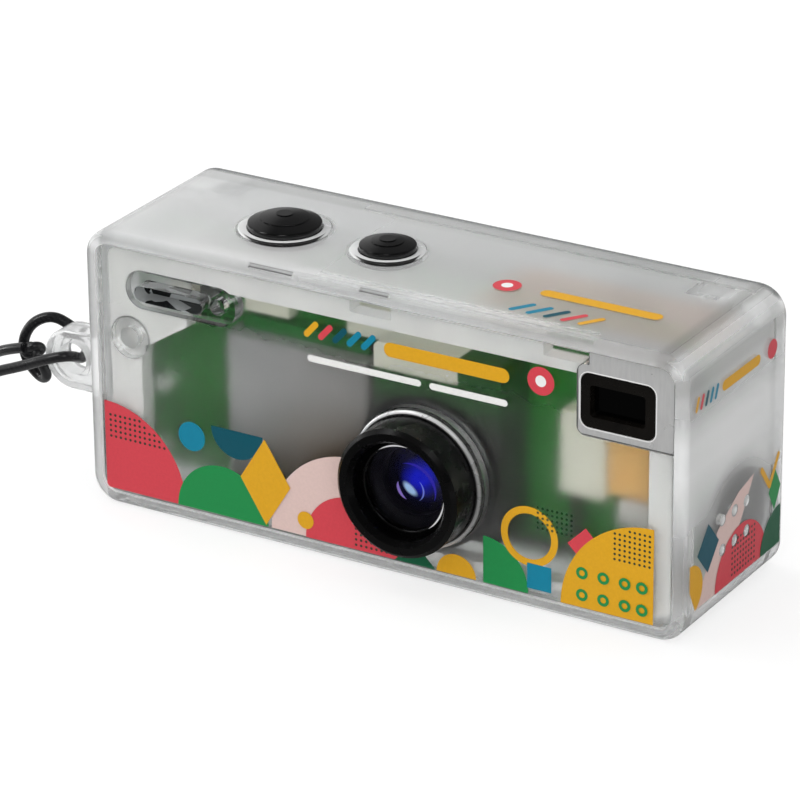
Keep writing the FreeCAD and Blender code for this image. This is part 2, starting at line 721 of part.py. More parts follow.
def lens_barrel():
    y0 = LENS_FRONT
    glass_y = y0 + FRONT_LENS_DEPTH + FRONT_LENS_SAG
    seat_y = glass_y + FRONT_LENS_EDGE + GLASS_GAP
    bevel = BARREL_BEVEL
    return turned([
        (BARREL_R - bevel, y0),
        (BARREL_R, y0 + bevel),
        (BARREL_R, FLANGE_FRONT),
        (FLANGE_R, FLANGE_FRONT),
        (FLANGE_R, FLANGE_BACK),
        (SEAT_R, FLANGE_BACK),
        (SEAT_R, seat_y),
        (BORE_R, seat_y),
        (BORE_R, y0 + BARREL_FLARE_DEPTH),
        (BORE_R + bevel, y0),
    ], LENS_X, LENS_Z)


def lens_trim_ring():
    y0 = FRONT - TRIM_PROUD
    inner = BARREL_R + GLASS_GAP
    return turned([
        (inner, y0),
        (TRIM_R - TRIM_BEVEL, y0),
        (TRIM_R, y0 + TRIM_BEVEL),
        (TRIM_R, y0 + TRIM_T),
        (inner, y0 + TRIM_T),
    ], LENS_X, LENS_Z)


def front_lens():
    rim = LENS_FRONT + FRONT_LENS_DEPTH + FRONT_LENS_SAG
    return domed_disc(LENS_X, LENS_Z, BORE_R - GLASS_GAP, rim, FRONT_LENS_EDGE, FRONT_LENS_SAG)


def inner_glass_y():
    """Where the inside of the barrel starts, just behind the front lens."""
    return LENS_FRONT + FRONT_LENS_DEPTH + FRONT_LENS_SAG + FRONT_LENS_EDGE + 2 * GLASS_GAP


def lens_spacer():
    y0 = inner_glass_y()
    outer = SEAT_R - GLASS_GAP
    return turned([
        (SPACER_BORE_R + SPACER_BEVEL, y0),
        (outer, y0),
        (outer, y0 + SPACER_T),
        (SPACER_BORE_R, y0 + SPACER_T),
    ], LENS_X, LENS_Z)


def rear_lens():
    rim = inner_glass_y() + SPACER_T + GLASS_GAP + REAR_LENS_SAG
    return domed_disc(LENS_X, LENS_Z, REAR_LENS_R, rim, REAR_LENS_EDGE, REAR_LENS_SAG)


def lens_cell():
    """The threaded cell that carries the rear lens inside the barrel."""
    y0 = inner_glass_y() + SPACER_T + GLASS_GAP
    outer = SEAT_R - GLASS_GAP
    glass_back = y0 + REAR_LENS_SAG + REAR_LENS_EDGE + GLASS_GAP
    return turned([
        (REAR_LENS_R + GLASS_GAP, y0),
        (outer, y0),
        (outer, FLANGE_BACK),
        (LIGHT_R, FLANGE_BACK),
        (LIGHT_R, glass_back),
        (REAR_LENS_R + GLASS_GAP, glass_back),
    ], LENS_X, LENS_Z)


def aperture_stop():
    y0 = inner_glass_y() + SPACER_T + 3 * GLASS_GAP + REAR_LENS_SAG + REAR_LENS_EDGE
    outer = LIGHT_R - GLASS_GAP
    disc = rod(V(LENS_X, y0, LENS_Z), outer, STOP_T)
    return disc.cut(rod(V(LENS_X, y0, LENS_Z), STOP_BORE_R, STOP_T))


def lens_holder():
    """The dark block on the board, open over the image sensor."""
    x0 = HOLDER_LEFT
    block = box(x0, x0 + HOLDER_W, HOLDER_FRONT, BOARD_Y, LENS_Z - HOLDER_BELOW, HOLDER_TOP)
    block = block.makeFillet(HOLDER_EDGE_R, parallel_edges(block, Y))
    room = box(
        LENS_X - SENSOR_W / 2 - SLACK, LENS_X + SENSOR_W / 2 + SLACK,
        BOARD_Y - SENSOR_T - SLACK - FILTER_T - SLACK, BOARD_Y,
        LENS_Z - SENSOR_H / 2 - SLACK, LENS_Z + SENSOR_H / 2 + SLACK,
    )
    light = rod(V(LENS_X, HOLDER_FRONT, LENS_Z), LIGHT_R, BOARD_Y - HOLDER_FRONT)
    return block.cut([room, light])


def light_filter():
    y1 = BOARD_Y - SENSOR_T - SLACK
    half_w = FILTER_W / 2
    half_h = SENSOR_H / 2
    return box(LENS_X - half_w, LENS_X + half_w, y1 - FILTER_T, y1, LENS_Z - half_h, LENS_Z + half_h)


def image_sensor():
    half_w = SENSOR_W / 2
    half_h = SENSOR_H / 2
    return box(
        LENS_X - half_w, LENS_X + half_w, BOARD_Y - SENSOR_T, BOARD_Y,
        LENS_Z - half_h, LENS_Z + half_h,
    )


# Viewfinder

def viewfinder_housing():
    """The frosted block in the corner of the cover, with a pocket for the dark frame."""
    body = finder_housing_shape(COVER_FRONT, HOUSING_BACK)
    pocket = rounded_slab(
        FINDER_LEFT - COVER_GAP, FINDER_RIGHT + COVER_GAP,
        FINDER_FOOT - COVER_GAP, FINDER_TOP + COVER_GAP,
        FINDER_R, COVER_FRONT - THROUGH, COVER_FRONT + FINDER_CUP_T + COVER_GAP,
    )
    return body.cut(pocket)


def viewfinder_frame():
    """The dark cup whose rim stands round the window."""
    y0 = COVER_FRONT - FINDER_CUP_PROUD
    y1 = COVER_FRONT + FINDER_CUP_T
    cup = rounded_slab(FINDER_LEFT, FINDER_RIGHT, FINDER_FOOT, FINDER_TOP, FINDER_R, y0, y1)
    x0 = FINDER_LEFT + FINDER_FRAME_W
    x1 = FINDER_RIGHT - FINDER_FRAME_W
    z0 = FINDER_FOOT + FINDER_FRAME_H
    z1 = FINDER_TOP - FINDER_FRAME_H
    return cup.cut(
        rounded_slab(x0, x1, z0, z1, FINDER_GLASS_R, y0 - THROUGH, y1 - FINDER_CUP_FLOOR)
    )


def viewfinder_window():
    x0 = FINDER_LEFT + FINDER_FRAME_W + GLASS_GAP
    x1 = FINDER_RIGHT - FINDER_FRAME_W - GLASS_GAP
    z0 = FINDER_FOOT + FINDER_FRAME_H + GLASS_GAP
    z1 = FINDER_TOP - FINDER_FRAME_H - GLASS_GAP
    y0 = COVER_FRONT + FINDER_GLASS_DEPTH
    return rounded_slab(x0, x1, z0, z1, FINDER_GLASS_R, y0, y0 + FINDER_GLASS_T)


# Flash

def flash_window():
    """The clear strip at the back of the slot."""
    y1 = FRONT_SEAT + FLASH_BOSS_T
    x0 = FLASH_SLOT_X - FLASH_SLOT_W / 2 + GLASS_GAP
    x1 = FLASH_SLOT_X + FLASH_SLOT_W / 2 - GLASS_GAP
    return slot_slab(x0, x1, FLASH_Z, FLASH_SLOT_H - 2 * GLASS_GAP, y1 - FLASH_WINDOW_T, y1)


def flash_lamp():
    """A small lamp on the board behind the slot."""
    x0 = FLASH_SLOT_X - FLASH_LED_W / 2
    z0 = FLASH_Z - FLASH_LED_H / 2
    y0 = FRONT_SEAT + FLASH_BOSS_T + 2 * SLACK
    y1 = y0 + FLASH_LENS_T
    base = box(x0, x0 + FLASH_LED_W, y1, BOARD_Y, z0, z0 + FLASH_LED_H)
    inset = FLASH_LENS_INSET
    lens = slot_slab(x0 + inset, x0 + FLASH_LED_W - inset, FLASH_Z, FLASH_LENS_H, y0, y1)
    return base.fuse(lens).removeSplitter()


# Top buttons and switches

def button_cap(x, r, foot, height):
    """The part of a ball that stands above a level, within a radius."""
    centre = V(x, TOP_BUTTON_Y, foot + height - BUTTON_BALL_R)
    return Part.makeSphere(BUTTON_BALL_R, centre).common(rod(V(x, TOP_BUTTON_Y, foot), r, height, Z))


def top_button(x, r):
    """A domed button with a shaft through the wall, a flange, a crown and a faint raised disc."""
    top = CASE_H + BUTTON_PROUD
    shaft = rod(V(x, TOP_BUTTON_Y, BUTTON_FLANGE_FOOT), r, top - BUTTON_FLANGE_FOOT, Z)
    dome_h = BUTTON_BALL_R - math.sqrt(BUTTON_BALL_R ** 2 - r * r)
    dome = button_cap(x, r, top, dome_h)
    crown = button_cap(x, r - BUTTON_CROWN_INSET, top, dome_h + BUTTON_CROWN_STEP)
    flange = rod(V(x, TOP_BUTTON_Y, BUTTON_FLANGE_FOOT), r + BUTTON_FLANGE_W, BUTTON_FLANGE_T, Z)
    button = shaft.fuse(dome).removeSplitter()
    button = soften(button, BUTTON_EDGE_R, lambda b: abs(b.ZMin - top) < NEAR and b.ZLength < NEAR)
    icon_h = dome_h + BUTTON_CROWN_STEP + BUTTON_ICON_H
    icon = rod(V(x, TOP_BUTTON_Y, top), BUTTON_ICON_R, icon_h, Z)
    return button.fuse([flange, crown, icon]).removeSplitter()


def top_plunger(x):
    """The pin that a top button pushes into its switch."""
    return rod(V(x, SWITCH_Y, PLUNGER_FOOT), PLUNGER_R, PLUNGER_TOP - PLUNGER_FOOT, Z)


def top_switch(x):
    """A switch body on the front of the board, pushed from above."""
    half = SWITCH_W / 2
    body = box(x - half, x + half, BOARD_Y - SWITCH_T, BOARD_Y, SWITCH_FOOT, SWITCH_TOP)
    depth = PLUNGER_SUNK + BUTTON_TRAVEL + SLACK
    bore = rod(V(x, SWITCH_Y, SWITCH_TOP - depth), PLUNGER_R + PLUNGER_GAP, depth, Z)
    return body.cut(bore)


# Boards

def main_board():
    board = box(BOARD_LEFT, BOARD_RIGHT, BOARD_Y, BOARD_BACK, BOARD_FOOT, BOARD_TOP)
    return board.makeChamfer(BOARD_CHAMFER, parallel_edges(board, Y))


def rear_board():
    x1 = IN_RIGHT - REAR_BOARD_RIGHT_GAP
    return box(
        BOARD_LEFT, x1, REAR_BOARD_FRONT, REAR_BOARD_BACK, REAR_BOARD_FOOT, REAR_BOARD_TOP
    )


def board_header():
    """The pin block that joins the two boards."""
    z0 = REAR_BOARD_FOOT + HEADER_FROM_EDGE
    x0 = HEADER_LEFT
    return box(x0, x0 + HEADER_W, BOARD_BACK, REAR_BOARD_FRONT, z0, z0 + HEADER_H)


def processor_chip():
    half = CHIP_W / 2
    return box(CHIP_X - half, CHIP_X + half, BOARD_BACK, BOARD_BACK + CHIP_T, CHIP_Z - half, CHIP_Z + half)


def memory_chip():
    x0 = MEMORY_X - MEMORY_W / 2
    z0 = CHIP_Z - MEMORY_H / 2
    return box(x0, x0 + MEMORY_W, BOARD_BACK, BOARD_BACK + CHIP_T, z0, z0 + MEMORY_H)


def board_resistors():
    """Two short rows of small parts beside the processor."""
    parts = []
    for row in range(RESISTOR_ROWS):
        x0 = CHIP_X + CHIP_W / 2 + CHIP_STEP + row * RESISTOR_PITCH
        for i in range(RESISTOR_COUNT):
            z0 = CHIP_Z - CHIP_W / 2 + i * RESISTOR_PITCH
            parts.append(box(
                x0, x0 + RESISTOR_W, BOARD_BACK, BOARD_BACK + RESISTOR_T, z0, z0 + RESISTOR_H
            ))
    return Part.makeCompound(parts)


# Battery and the blocks on the front of the board

def battery():
    y1 = BATTERY_FRONT + BATTERY_T
    cell = box(BATTERY_LEFT, BATTERY_RIGHT, BATTERY_FRONT, y1, BATTERY_FOOT, BATTERY_TOP)
    return cell.makeFillet(BATTERY_EDGE_R, parallel_edges(cell, Z))


def battery_tape():
    """The taped strip with the cell's tabs, above the cell."""
    x0 = BATTERY_LEFT + BATTERY_TAPE_INSET
    x1 = BATTERY_RIGHT - BATTERY_TAPE_INSET
    y0 = BATTERY_FRONT + BATTERY_T / 2
    y1 = BATTERY_FRONT + BATTERY_T
    return box(x0, x1, y0, y1, BATTERY_TOP, BATTERY_TOP + BATTERY_TAPE_H)


def battery_connector():
    x0 = CONNECTOR_X - CONNECTOR_W / 2
    z0 = CONNECTOR_Z - CONNECTOR_H / 2
    block = box(x0, x0 + CONNECTOR_W, BOARD_Y - CONNECTOR_T, BOARD_Y, z0, z0 + CONNECTOR_H)
    return block.makeFillet(BLOCK_EDGE_R, parallel_edges(block, Y))


def capacitor_x():
    return CONNECTOR_X + CONNECTOR_W / 2 + BLOCK_GAP


def capacitor_foot():
    return CONNECTOR_Z - CONNECTOR_H / 2 + CAPACITOR_RAISE


def capacitor():
    """A moulded block with a folded metal end."""
    x0 = capacitor_x()
    z0 = capacitor_foot()
    block = box(x0, x0 + CAPACITOR_W, BOARD_Y - CAPACITOR_T, BOARD_Y, z0, z0 + CAPACITOR_H)
    return block.makeFillet(BLOCK_EDGE_R, parallel_edges(block, Z))


def speaker_socket():
    x1 = socket_right()
    z1 = socket_top()
    return box(x1 - SOCKET_W, x1, BOARD_Y - SOCKET_T, BOARD_Y, z1 - SOCKET_H, z1)


def socket_right():
    return capacitor_x() + CAPACITOR_W


def socket_top():
    return capacitor_foot() - SOCKET_BELOW


def wire(points):
    """One insulated wire whose bends share a radius."""
    path = rounded_route(points, WIRE_BEND_R)[0]
    along = (points[1] - points[0]).normalize()
    ring = Part.Wire([Part.makeCircle(WIRE_R, points[0], along)])
    return path.makePipeShell([ring], True, False)


def battery_wires():
    """Two wires from the cell's tabs, down beside the cell and under the lens block."""
    x0 = BATTERY_RIGHT - BATTERY_TAPE_INSET
    x1 = BATTERY_RIGHT + WIRE_CLEAR + WIRE_R
    x2 = CONNECTOR_X - CONNECTOR_W / 4
    high = BATTERY_TOP + BATTERY_TAPE_H / 2
    low = LENS_Z - HOLDER_BELOW - WIRE_CLEAR - WIRE_R
    end = CONNECTOR_Z - CONNECTOR_H / 2
    wires = []
    for i in range(WIRE_COUNT):
        y = BOARD_Y - WIRE_CLEAR - WIRE_R - i * WIRE_PITCH
        wires.append(wire([V(x0, y, high), V(x1, y, high), V(x1, y, low), V(x2, y, low), V(x2, y, end)]))
    return Part.makeCompound(wires)


def speaker_wires():
    """Two wires from the front of the speaker to its socket."""
    x = SPEAKER_LEFT + SPEAKER_T / 2
    y = BOARD_Y - SOCKET_T / 2
    wires = []
    for i in range(WIRE_COUNT):
        z = socket_top() - SOCKET_H / 2 + (i - (WIRE_COUNT - 1) / 2) * WIRE_PITCH
        across = z - WIRE_R - SPEAKER_Z
        y0 = SPEAKER_Y - math.sqrt(SPEAKER_R ** 2 - across ** 2)
        wires.append(wire([V(x, y0, z), V(x, y, z), V(socket_right(), y, z)]))
    return Part.makeCompound(wires)


# Display, rear buttons and rear switches

def rear_button_heights():
    pitch = (REAR_BUTTON_HIGH - REAR_BUTTON_LOW) / (REAR_BUTTON_COUNT - 1)
    return [REAR_BUTTON_LOW + i * pitch for i in range(REAR_BUTTON_COUNT)]


def display_opening(grow, y0, y1):
    """The view window of the display, grown all round."""
    half_w = DISPLAY_VIEW_W / 2 + grow
    half_h = DISPLAY_VIEW_H / 2 + grow
    return rounded_slab(
        DISPLAY_X - half_w, DISPLAY_X + half_w, DISPLAY_Z - half_h, DISPLAY_Z + half_h,
        DISPLAY_R + grow, y0, y1,
    )


def display_module():
    half_w = DISPLAY_W / 2
    half_h = DISPLAY_H / 2
    return rounded_slab(
        DISPLAY_X - half_w, DISPLAY_X + half_w, DISPLAY_Z - half_h, DISPLAY_Z + half_h,
        DISPLAY_R, REAR_BOARD_BACK, DISPLAY_BACK,
    )


def display_gasket():
    """A soft ring between the display and the cover."""
    ring = display_opening(GASKET_W, DISPLAY_BACK, REAR_SEAT - GLASS_GAP)
    return ring.cut(display_opening(SLACK, DISPLAY_BACK, REAR_SEAT))


def display_pane():
    lip = DISPLAY_PANE_LIP - COVER_GAP
    return display_opening(lip, COVER_BACK - DISPLAY_PANE_T, COVER_BACK)


def rear_button(z):
    y1 = BACK + REAR_BUTTON_PROUD
    cap = rod(V(REAR_BUTTON_X, REAR_FLANGE_FRONT, z), REAR_BUTTON_R, y1 - REAR_FLANGE_FRONT)
    cap = soften(cap, REAR_BUTTON_EDGE_R, lambda b: b.YMin > BACK)
    flange = rod(
        V(REAR_BUTTON_X, REAR_FLANGE_FRONT, z),
        REAR_BUTTON_R + REAR_BUTTON_FLANGE_W, REAR_BUTTON_FLANGE_T,
    )
    return cap.fuse(flange).removeSplitter()


def rear_plunger(z):
    y0 = REAR_SWITCH_BACK - REAR_PLUNGER_SUNK
    return rod(V(REAR_BUTTON_X, y0, z), REAR_PLUNGER_R, REAR_FLANGE_FRONT - y0)


def rear_switches():
    """Three identical switch bodies on the rear board."""
    bodies = []
    half = REAR_SWITCH_W / 2
    for z in rear_button_heights():
        body = box(
            REAR_BUTTON_X - half, REAR_BUTTON_X + half, REAR_BOARD_BACK, REAR_SWITCH_BACK,
            z - half, z + half,
        )
        depth = REAR_PLUNGER_SUNK + REAR_BUTTON_TRAVEL + SLACK
        bore = rod(V(REAR_BUTTON_X, REAR_SWITCH_BACK - depth, z), REAR_PLUNGER_R + PLUNGER_GAP, depth)
        bodies.append(body.cut(bore))
    return Part.makeCompound(bodies)


# Card socket, card and port

def card_socket():
    """A folded metal tray that is open towards the left wall."""
    sheet = CARD_SOCKET_SHEET
    clear = CARD_CLEAR
    x0 = IN_LEFT + SLACK
    x1 = x0 + CARD_SOCKET_L
    y0 = CARD_Y - clear - sheet
    z0 = CARD_FOOT - clear - sheet
    tray = box(x0, x1, y0, REAR_BOARD_FRONT, z0, CARD_TOP + clear + sheet)
    room = box(
        x0 - THROUGH, x1 + THROUGH, CARD_Y - clear, CARD_Y + CARD_T + clear,
        CARD_FOOT - clear, CARD_TOP + clear,
    )
    return tray.cut(room)


def memory_card():
    x0 = CARD_LEFT
    card = box(x0, x0 + CARD_L, CARD_Y, CARD_Y + CARD_T, CARD_FOOT, CARD_TOP)
    card = card.makeFillet(CARD_CORNER_R, parallel_edges(card, Y))
    grip_x = x0 + CARD_GRIP_FROM_EDGE
    grip = box(
        grip_x, grip_x + CARD_GRIP_W, CARD_Y, CARD_Y + CARD_GRIP_W / 2,
        CARD_FOOT + CARD_GRIP_SHORT, CARD_TOP - CARD_GRIP_SHORT,
    )
    return card.cut(grip)


def port_outline(x0, x1, grow):
    """The flattened oval of the port, grown all round."""
    r = PORT_T / 2 + grow
    z0 = PORT_Z - PORT_W / 2 - grow
    z1 = PORT_Z + PORT_W / 2 + grow
    middle = box(x0, x1, PORT_Y - r, PORT_Y + r, z0 + r, z1 - r)
    low = rod(V(x0, PORT_Y, z0 + r), r, x1 - x0, X)
    high = rod(V(x0, PORT_Y, z1 - r), r, x1 - x0, X)
    return middle.fuse([low, high]).removeSplitter()


def port_shell():
    x0 = LEFT + COVER_RECESS
    outer = port_outline(x0, x0 + PORT_L, 0)
    return outer.cut(port_outline(x0 - THROUGH, x0 + PORT_L - PORT_BLOCK_L, -PORT_SHEET))


def port_tongue():
    x1 = LEFT + COVER_RECESS + PORT_L - PORT_BLOCK_L
    half_w = PORT_TONGUE_W / 2
    half_t = PORT_TONGUE_T / 2
    return box(x1 - PORT_TONGUE_L, x1, PORT_Y - half_t, PORT_Y + half_t, PORT_Z - half_w, PORT_Z + half_w)


# Speaker, microphone and the speaker's wires

def speaker():
    """A round can with a dished cone towards the wall."""
    can = rod(V(SPEAKER_LEFT, SPEAKER_Y, SPEAKER_Z), SPEAKER_R, SPEAKER_T - SPEAKER_RING_T, X)
    top = SPEAKER_LEFT + SPEAKER_T - SPEAKER_RING_T
    dish = Part.makeCone(
        SPEAKER_CONE_R / 2, SPEAKER_CONE_R, SPEAKER_CONE_DEPTH,
        V(top - SPEAKER_CONE_DEPTH, SPEAKER_Y, SPEAKER_Z), X,
    )
    return can.cut(dish)


def speaker_gasket():
    x0 = SPEAKER_RIGHT - SPEAKER_RING_T
    at = V(x0, SPEAKER_Y, SPEAKER_Z)
    ring = rod(at, SPEAKER_R, SPEAKER_RING_T, X)
    return ring.cut(rod(at, SPEAKER_CONE_R + SPEAKER_RING_GAP, SPEAKER_RING_T, X))


def microphone():
    return rod(V(MICROPHONE_X, BOARD_Y - MICROPHONE_T, MICROPHONE_Z), MICROPHONE_R, MICROPHONE_T)


# Strap cord

def rounded_route(points, bend=None):
    """Straight runs joined by tangent arcs, as large as the runs allow or of one radius."""
    edges = []
    radii = []
    start = points[0]
    for before, at, after in zip(points, points[1:], points[2:]):
        into = at - before
        out = after - at
        shorter = min(into.Length, out.Length)
        into.normalize()
        out.normalize()
        half = into.getAngle(out) / 2
        reach = ARC_SHARE * shorter
        radius = reach / math.tan(half)
        if bend is not None and bend < radius:
            radius = bend
            reach = radius * math.tan(half)
        radii.append(radius)
        a = at - into * reach
        b = at + out * reach
        toward = (out - into).normalize()
        middle = at + toward * (radius / math.cos(half) - radius)
        edges.append(Part.makeLine(start, a))
        edges.append(Part.Arc(a, middle, b).toShape())
        start = b
    edges.append(Part.makeLine(start, points[-1]))
    return Part.Wire(edges), radii


def strap_cord():
    path, radii = rounded_route(CORD_ROUTE)
    along = (CORD_ROUTE[1] - CORD_ROUTE[0]).normalize()
    ring = Part.Wire([Part.makeCircle(CORD_R, CORD_ROUTE[0], along)])
    tube = path.makePipeShell([ring], True, False)
    plain = math.pi * CORD_R * CORD_R * path.Length
    print("cord length %.1f, volume / plain volume %.4f" % (path.Length, tube.Volume / plain))
    print("cord arc radii", " ".join("%.2f" % r for r in radii))
    return tube


def cord_knot():
    """A small knot that holds both ends of the cord."""
    ball = Part.makeSphere(KNOT_R)
    stretch = FreeCAD.Matrix()
    stretch.scale(V(KNOT_STRETCH, 1, 1))
    knot = ball.transformGeometry(stretch)
    knot.translate(KNOT_AT)
    return knot


def node_shapes():
    """Every node's name and shape."""
    shapes = {
        "body_shell": body_shell(),
        "front_cover": front_cover(),
        "rear_cover": rear_cover(),
        "case_screws": case_screws(),
        "inner_frame": inner_frame(),
        "lens_barrel": lens_barrel(),
        "lens_trim_ring": lens_trim_ring(),
        "front_lens": front_lens(),
        "lens_spacer": lens_spacer(),
        "rear_lens": rear_lens(),
        "lens_cell": lens_cell(),
        "aperture_stop": aperture_stop(),
        "lens_holder": lens_holder(),
        "light_filter": light_filter(),
        "image_sensor": image_sensor(),
        "viewfinder_housing": viewfinder_housing(),
        "viewfinder_frame": viewfinder_frame(),
        "viewfinder_window": viewfinder_window(),
        "flash_window": flash_window(),
        "flash_lamp": flash_lamp(),
        "shutter_button": top_button(SHUTTER_X, SHUTTER_R),
        "shutter_plunger": top_plunger(SHUTTER_X),
        "shutter_switch": top_switch(SHUTTER_X),
        "power_button": top_button(POWER_X, POWER_R),
        "power_plunger": top_plunger(POWER_X),
        "power_switch": top_switch(POWER_X),
        "main_board": main_board(),
        "rear_board": rear_board(),
        "board_header": board_header(),
        "processor_chip": processor_chip(),
        "memory_chip": memory_chip(),
        "board_resistors": board_resistors(),
        "battery": battery(),
        "battery_tape": battery_tape(),
        "battery_connector": battery_connector(),
        "capacitor": capacitor(),
        "speaker_socket": speaker_socket(),
        "battery_wires": battery_wires(),
        "speaker_wires": speaker_wires(),
        "display_module": display_module(),
        "display_gasket": display_gasket(),
        "display_pane": display_pane(),
        "rear_switches": rear_switches(),
        "card_socket": card_socket(),
        "memory_card": memory_card(),
        "port_shell": port_shell(),
        "port_tongue": port_tongue(),
        "speaker": speaker(),
        "speaker_gasket": speaker_gasket(),
        "microphone": microphone(),
        "strap_cord": strap_cord(),
        "cord_knot": cord_knot(),
    }
    for i, z in enumerate(rear_button_heights(), 1):
        shapes["rear_button_%d" % i] = rear_button(z)
        shapes["rear_plunger_%d" % i] = rear_plunger(z)
    return shapes


os.makedirs("parts", exist_ok=True)
for name, shape in node_shapes().items():
    shape.exportStep("parts/%s.step" % name)
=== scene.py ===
import math

import bpy
from mathutils import Matrix, Vector
from mathutils.geometry import delaunay_2d_cdt


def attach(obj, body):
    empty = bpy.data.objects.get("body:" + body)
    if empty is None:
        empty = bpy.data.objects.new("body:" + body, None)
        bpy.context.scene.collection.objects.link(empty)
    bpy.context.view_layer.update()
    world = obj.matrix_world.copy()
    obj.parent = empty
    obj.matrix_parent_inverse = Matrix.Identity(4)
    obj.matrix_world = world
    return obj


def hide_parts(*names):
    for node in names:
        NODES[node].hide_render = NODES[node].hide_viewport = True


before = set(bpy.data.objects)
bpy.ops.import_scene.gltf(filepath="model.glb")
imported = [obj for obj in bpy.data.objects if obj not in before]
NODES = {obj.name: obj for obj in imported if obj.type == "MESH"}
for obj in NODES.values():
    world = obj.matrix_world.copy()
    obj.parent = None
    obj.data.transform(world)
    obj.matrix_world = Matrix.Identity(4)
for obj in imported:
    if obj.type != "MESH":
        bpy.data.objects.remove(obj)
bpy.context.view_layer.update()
MM = 0.001
X, Y, Z = 0, 1, 2

# Places and lengths are in millimetres where nothing else is said. A pair that names an edge
# is where its fade starts and ends.

# Camera: a long lens from the front right, a little above
EYE = (184.8, -310.6, 172.1)
AZIMUTH_DEG = 31.18
ELEVATION_DEG = 23.54
ROLL_DEG = -0.55
LENS_LENGTH = 210.0
SENSOR_WIDTH = 36.0
SHIFT_X = 0.00125
SHIFT_Y = -0.0324
CLIP_START_M = 0.01
CLIP_END_M = 20

# The case as the frame has it, and the middle of its lens as (x, z)
CASE_RIGHT = 29.0
CASE_TOP = 25.4
COVER_FACE = -8.7
LENS_AT = (4.0, 9.4)

# The pry notches in the top front edge, as (left, right)
NOTCHES = ((-12.4, -8.1), (-1.6, 1.2))

# The top buttons, as ((x, y), radius)
BUTTONS = (((-13.9, -0.7), 3.2), ((-3.7, -0.7), 2.45))

# The ring in front of the glass
RETAINER_R = 3.85
RETAINER_OUTER_R = 4.36
RETAINER_SIDE_Y = (-11.05, -11.3)
RETAINER_BEAD = 0.13
RETAINER_Y = -11.22
RETAINER_STEPS = 160
BEAD_STEPS = 8

# The sound holes in the right wall
HOLE_ROW_Y = (-2.35, -0.2, 1.95)
HOLE_ROW_Z = (8.8, 6.1)
HOLE_OPEN_R = 0.55

# The strap cord
CORD_D = 0.95
CORD_ROUTE = [
    (-36.6, -6.1, 10.9),
    (-35.4, -6.0, 9.4),
    (-36.5, -5.2, 8.1),
    (-38.3, -5.0, 9.3),
    (-38.9, -4.9, 11.2),
    (-38.0, -4.5, 13.1),
    (-36.2, -3.9, 13.9),
    (-34.5, -3.6, 13.2),
    (-32.5, -3.6, 12.0),
    (-31.6, -5.9, 11.4),
    (-31.3, -8.2, 12.7),
    (-33.3, -8.75, 12.2),
    (-36.3, -8.5, 10.75),
    (-39.9, -8.4, 9.3),
    (-44.6, -8.7, 6.4),
    (-49.4, -8.1, 2.7),
    (-54.0, -6.2, 0.7),
    (-57.6, -2.6, 0.55),
    (-58.2, 2.4, 0.5),
    (-54.6, 5.9, 0.55),
    (-50.1, 4.4, 1.5),
    (-46.9, 0.3, 4.3),
    (-43.9, -3.6, 7.7),
    (-40.9, -6.1, 10.4),
    (-37.5, -6.5, 11.5),
]

# Its knot, a trefoil: the middle, the size along each axis and the cord's radius in it
KNOT_AT = (-36.75, -6.1, 11.15)
KNOT_SIZE = (0.297, 0.297, 0.2214)
KNOT_CORD_R = 0.42
KNOT_STEPS = 24


def mm(point):
    """A point in millimetres as metres."""
    return Vector(point) * MM


def add_object(name, data):
    """A new object in the scene."""
    made = bpy.data.objects.new(name, data)
    bpy.context.scene.collection.objects.link(made)
    return made


def add_mesh(name, vertices, faces):
    """A new mesh object in the scene."""
    mesh = bpy.data.meshes.new(name)
    mesh.from_pydata(vertices, [], faces)
    return add_object(name, mesh)


# Camera

def make_camera():
    """The camera of the photograph's view."""
    a = math.radians(AZIMUTH_DEG)
    e = math.radians(ELEVATION_DEG)
    r = math.radians(ROLL_DEG)
    back = Vector((math.sin(a) * math.cos(e), -math.cos(a) * math.cos(e), math.sin(e)))
    right = Vector((math.cos(a), math.sin(a), 0))
    up = back.cross(right)
    turned_right = right * math.cos(r) + up * math.sin(r)
    turned_up = up * math.cos(r) - right * math.sin(r)
    data = bpy.data.cameras.new("camera")
    data.lens = LENS_LENGTH
    data.sensor_width = SENSOR_WIDTH
    data.shift_x = SHIFT_X
    data.shift_y = SHIFT_Y
    data.clip_start = CLIP_START_M
    data.clip_end = CLIP_END_M
    camera = add_object("camera", data)
    axes = Matrix((turned_right, turned_up, back)).transposed()
    camera.matrix_world = Matrix.Translation(mm(EYE)) @ axes.to_4x4()
    bpy.context.scene.camera = camera


# Node helpers

NOISE_ROUGHNESS = 0.55

# The sockets of a Mix node for colours: share, first colour and second colour, and its result
MIX_INPUTS = (0, 6, 7)
MIX_RESULT = 2


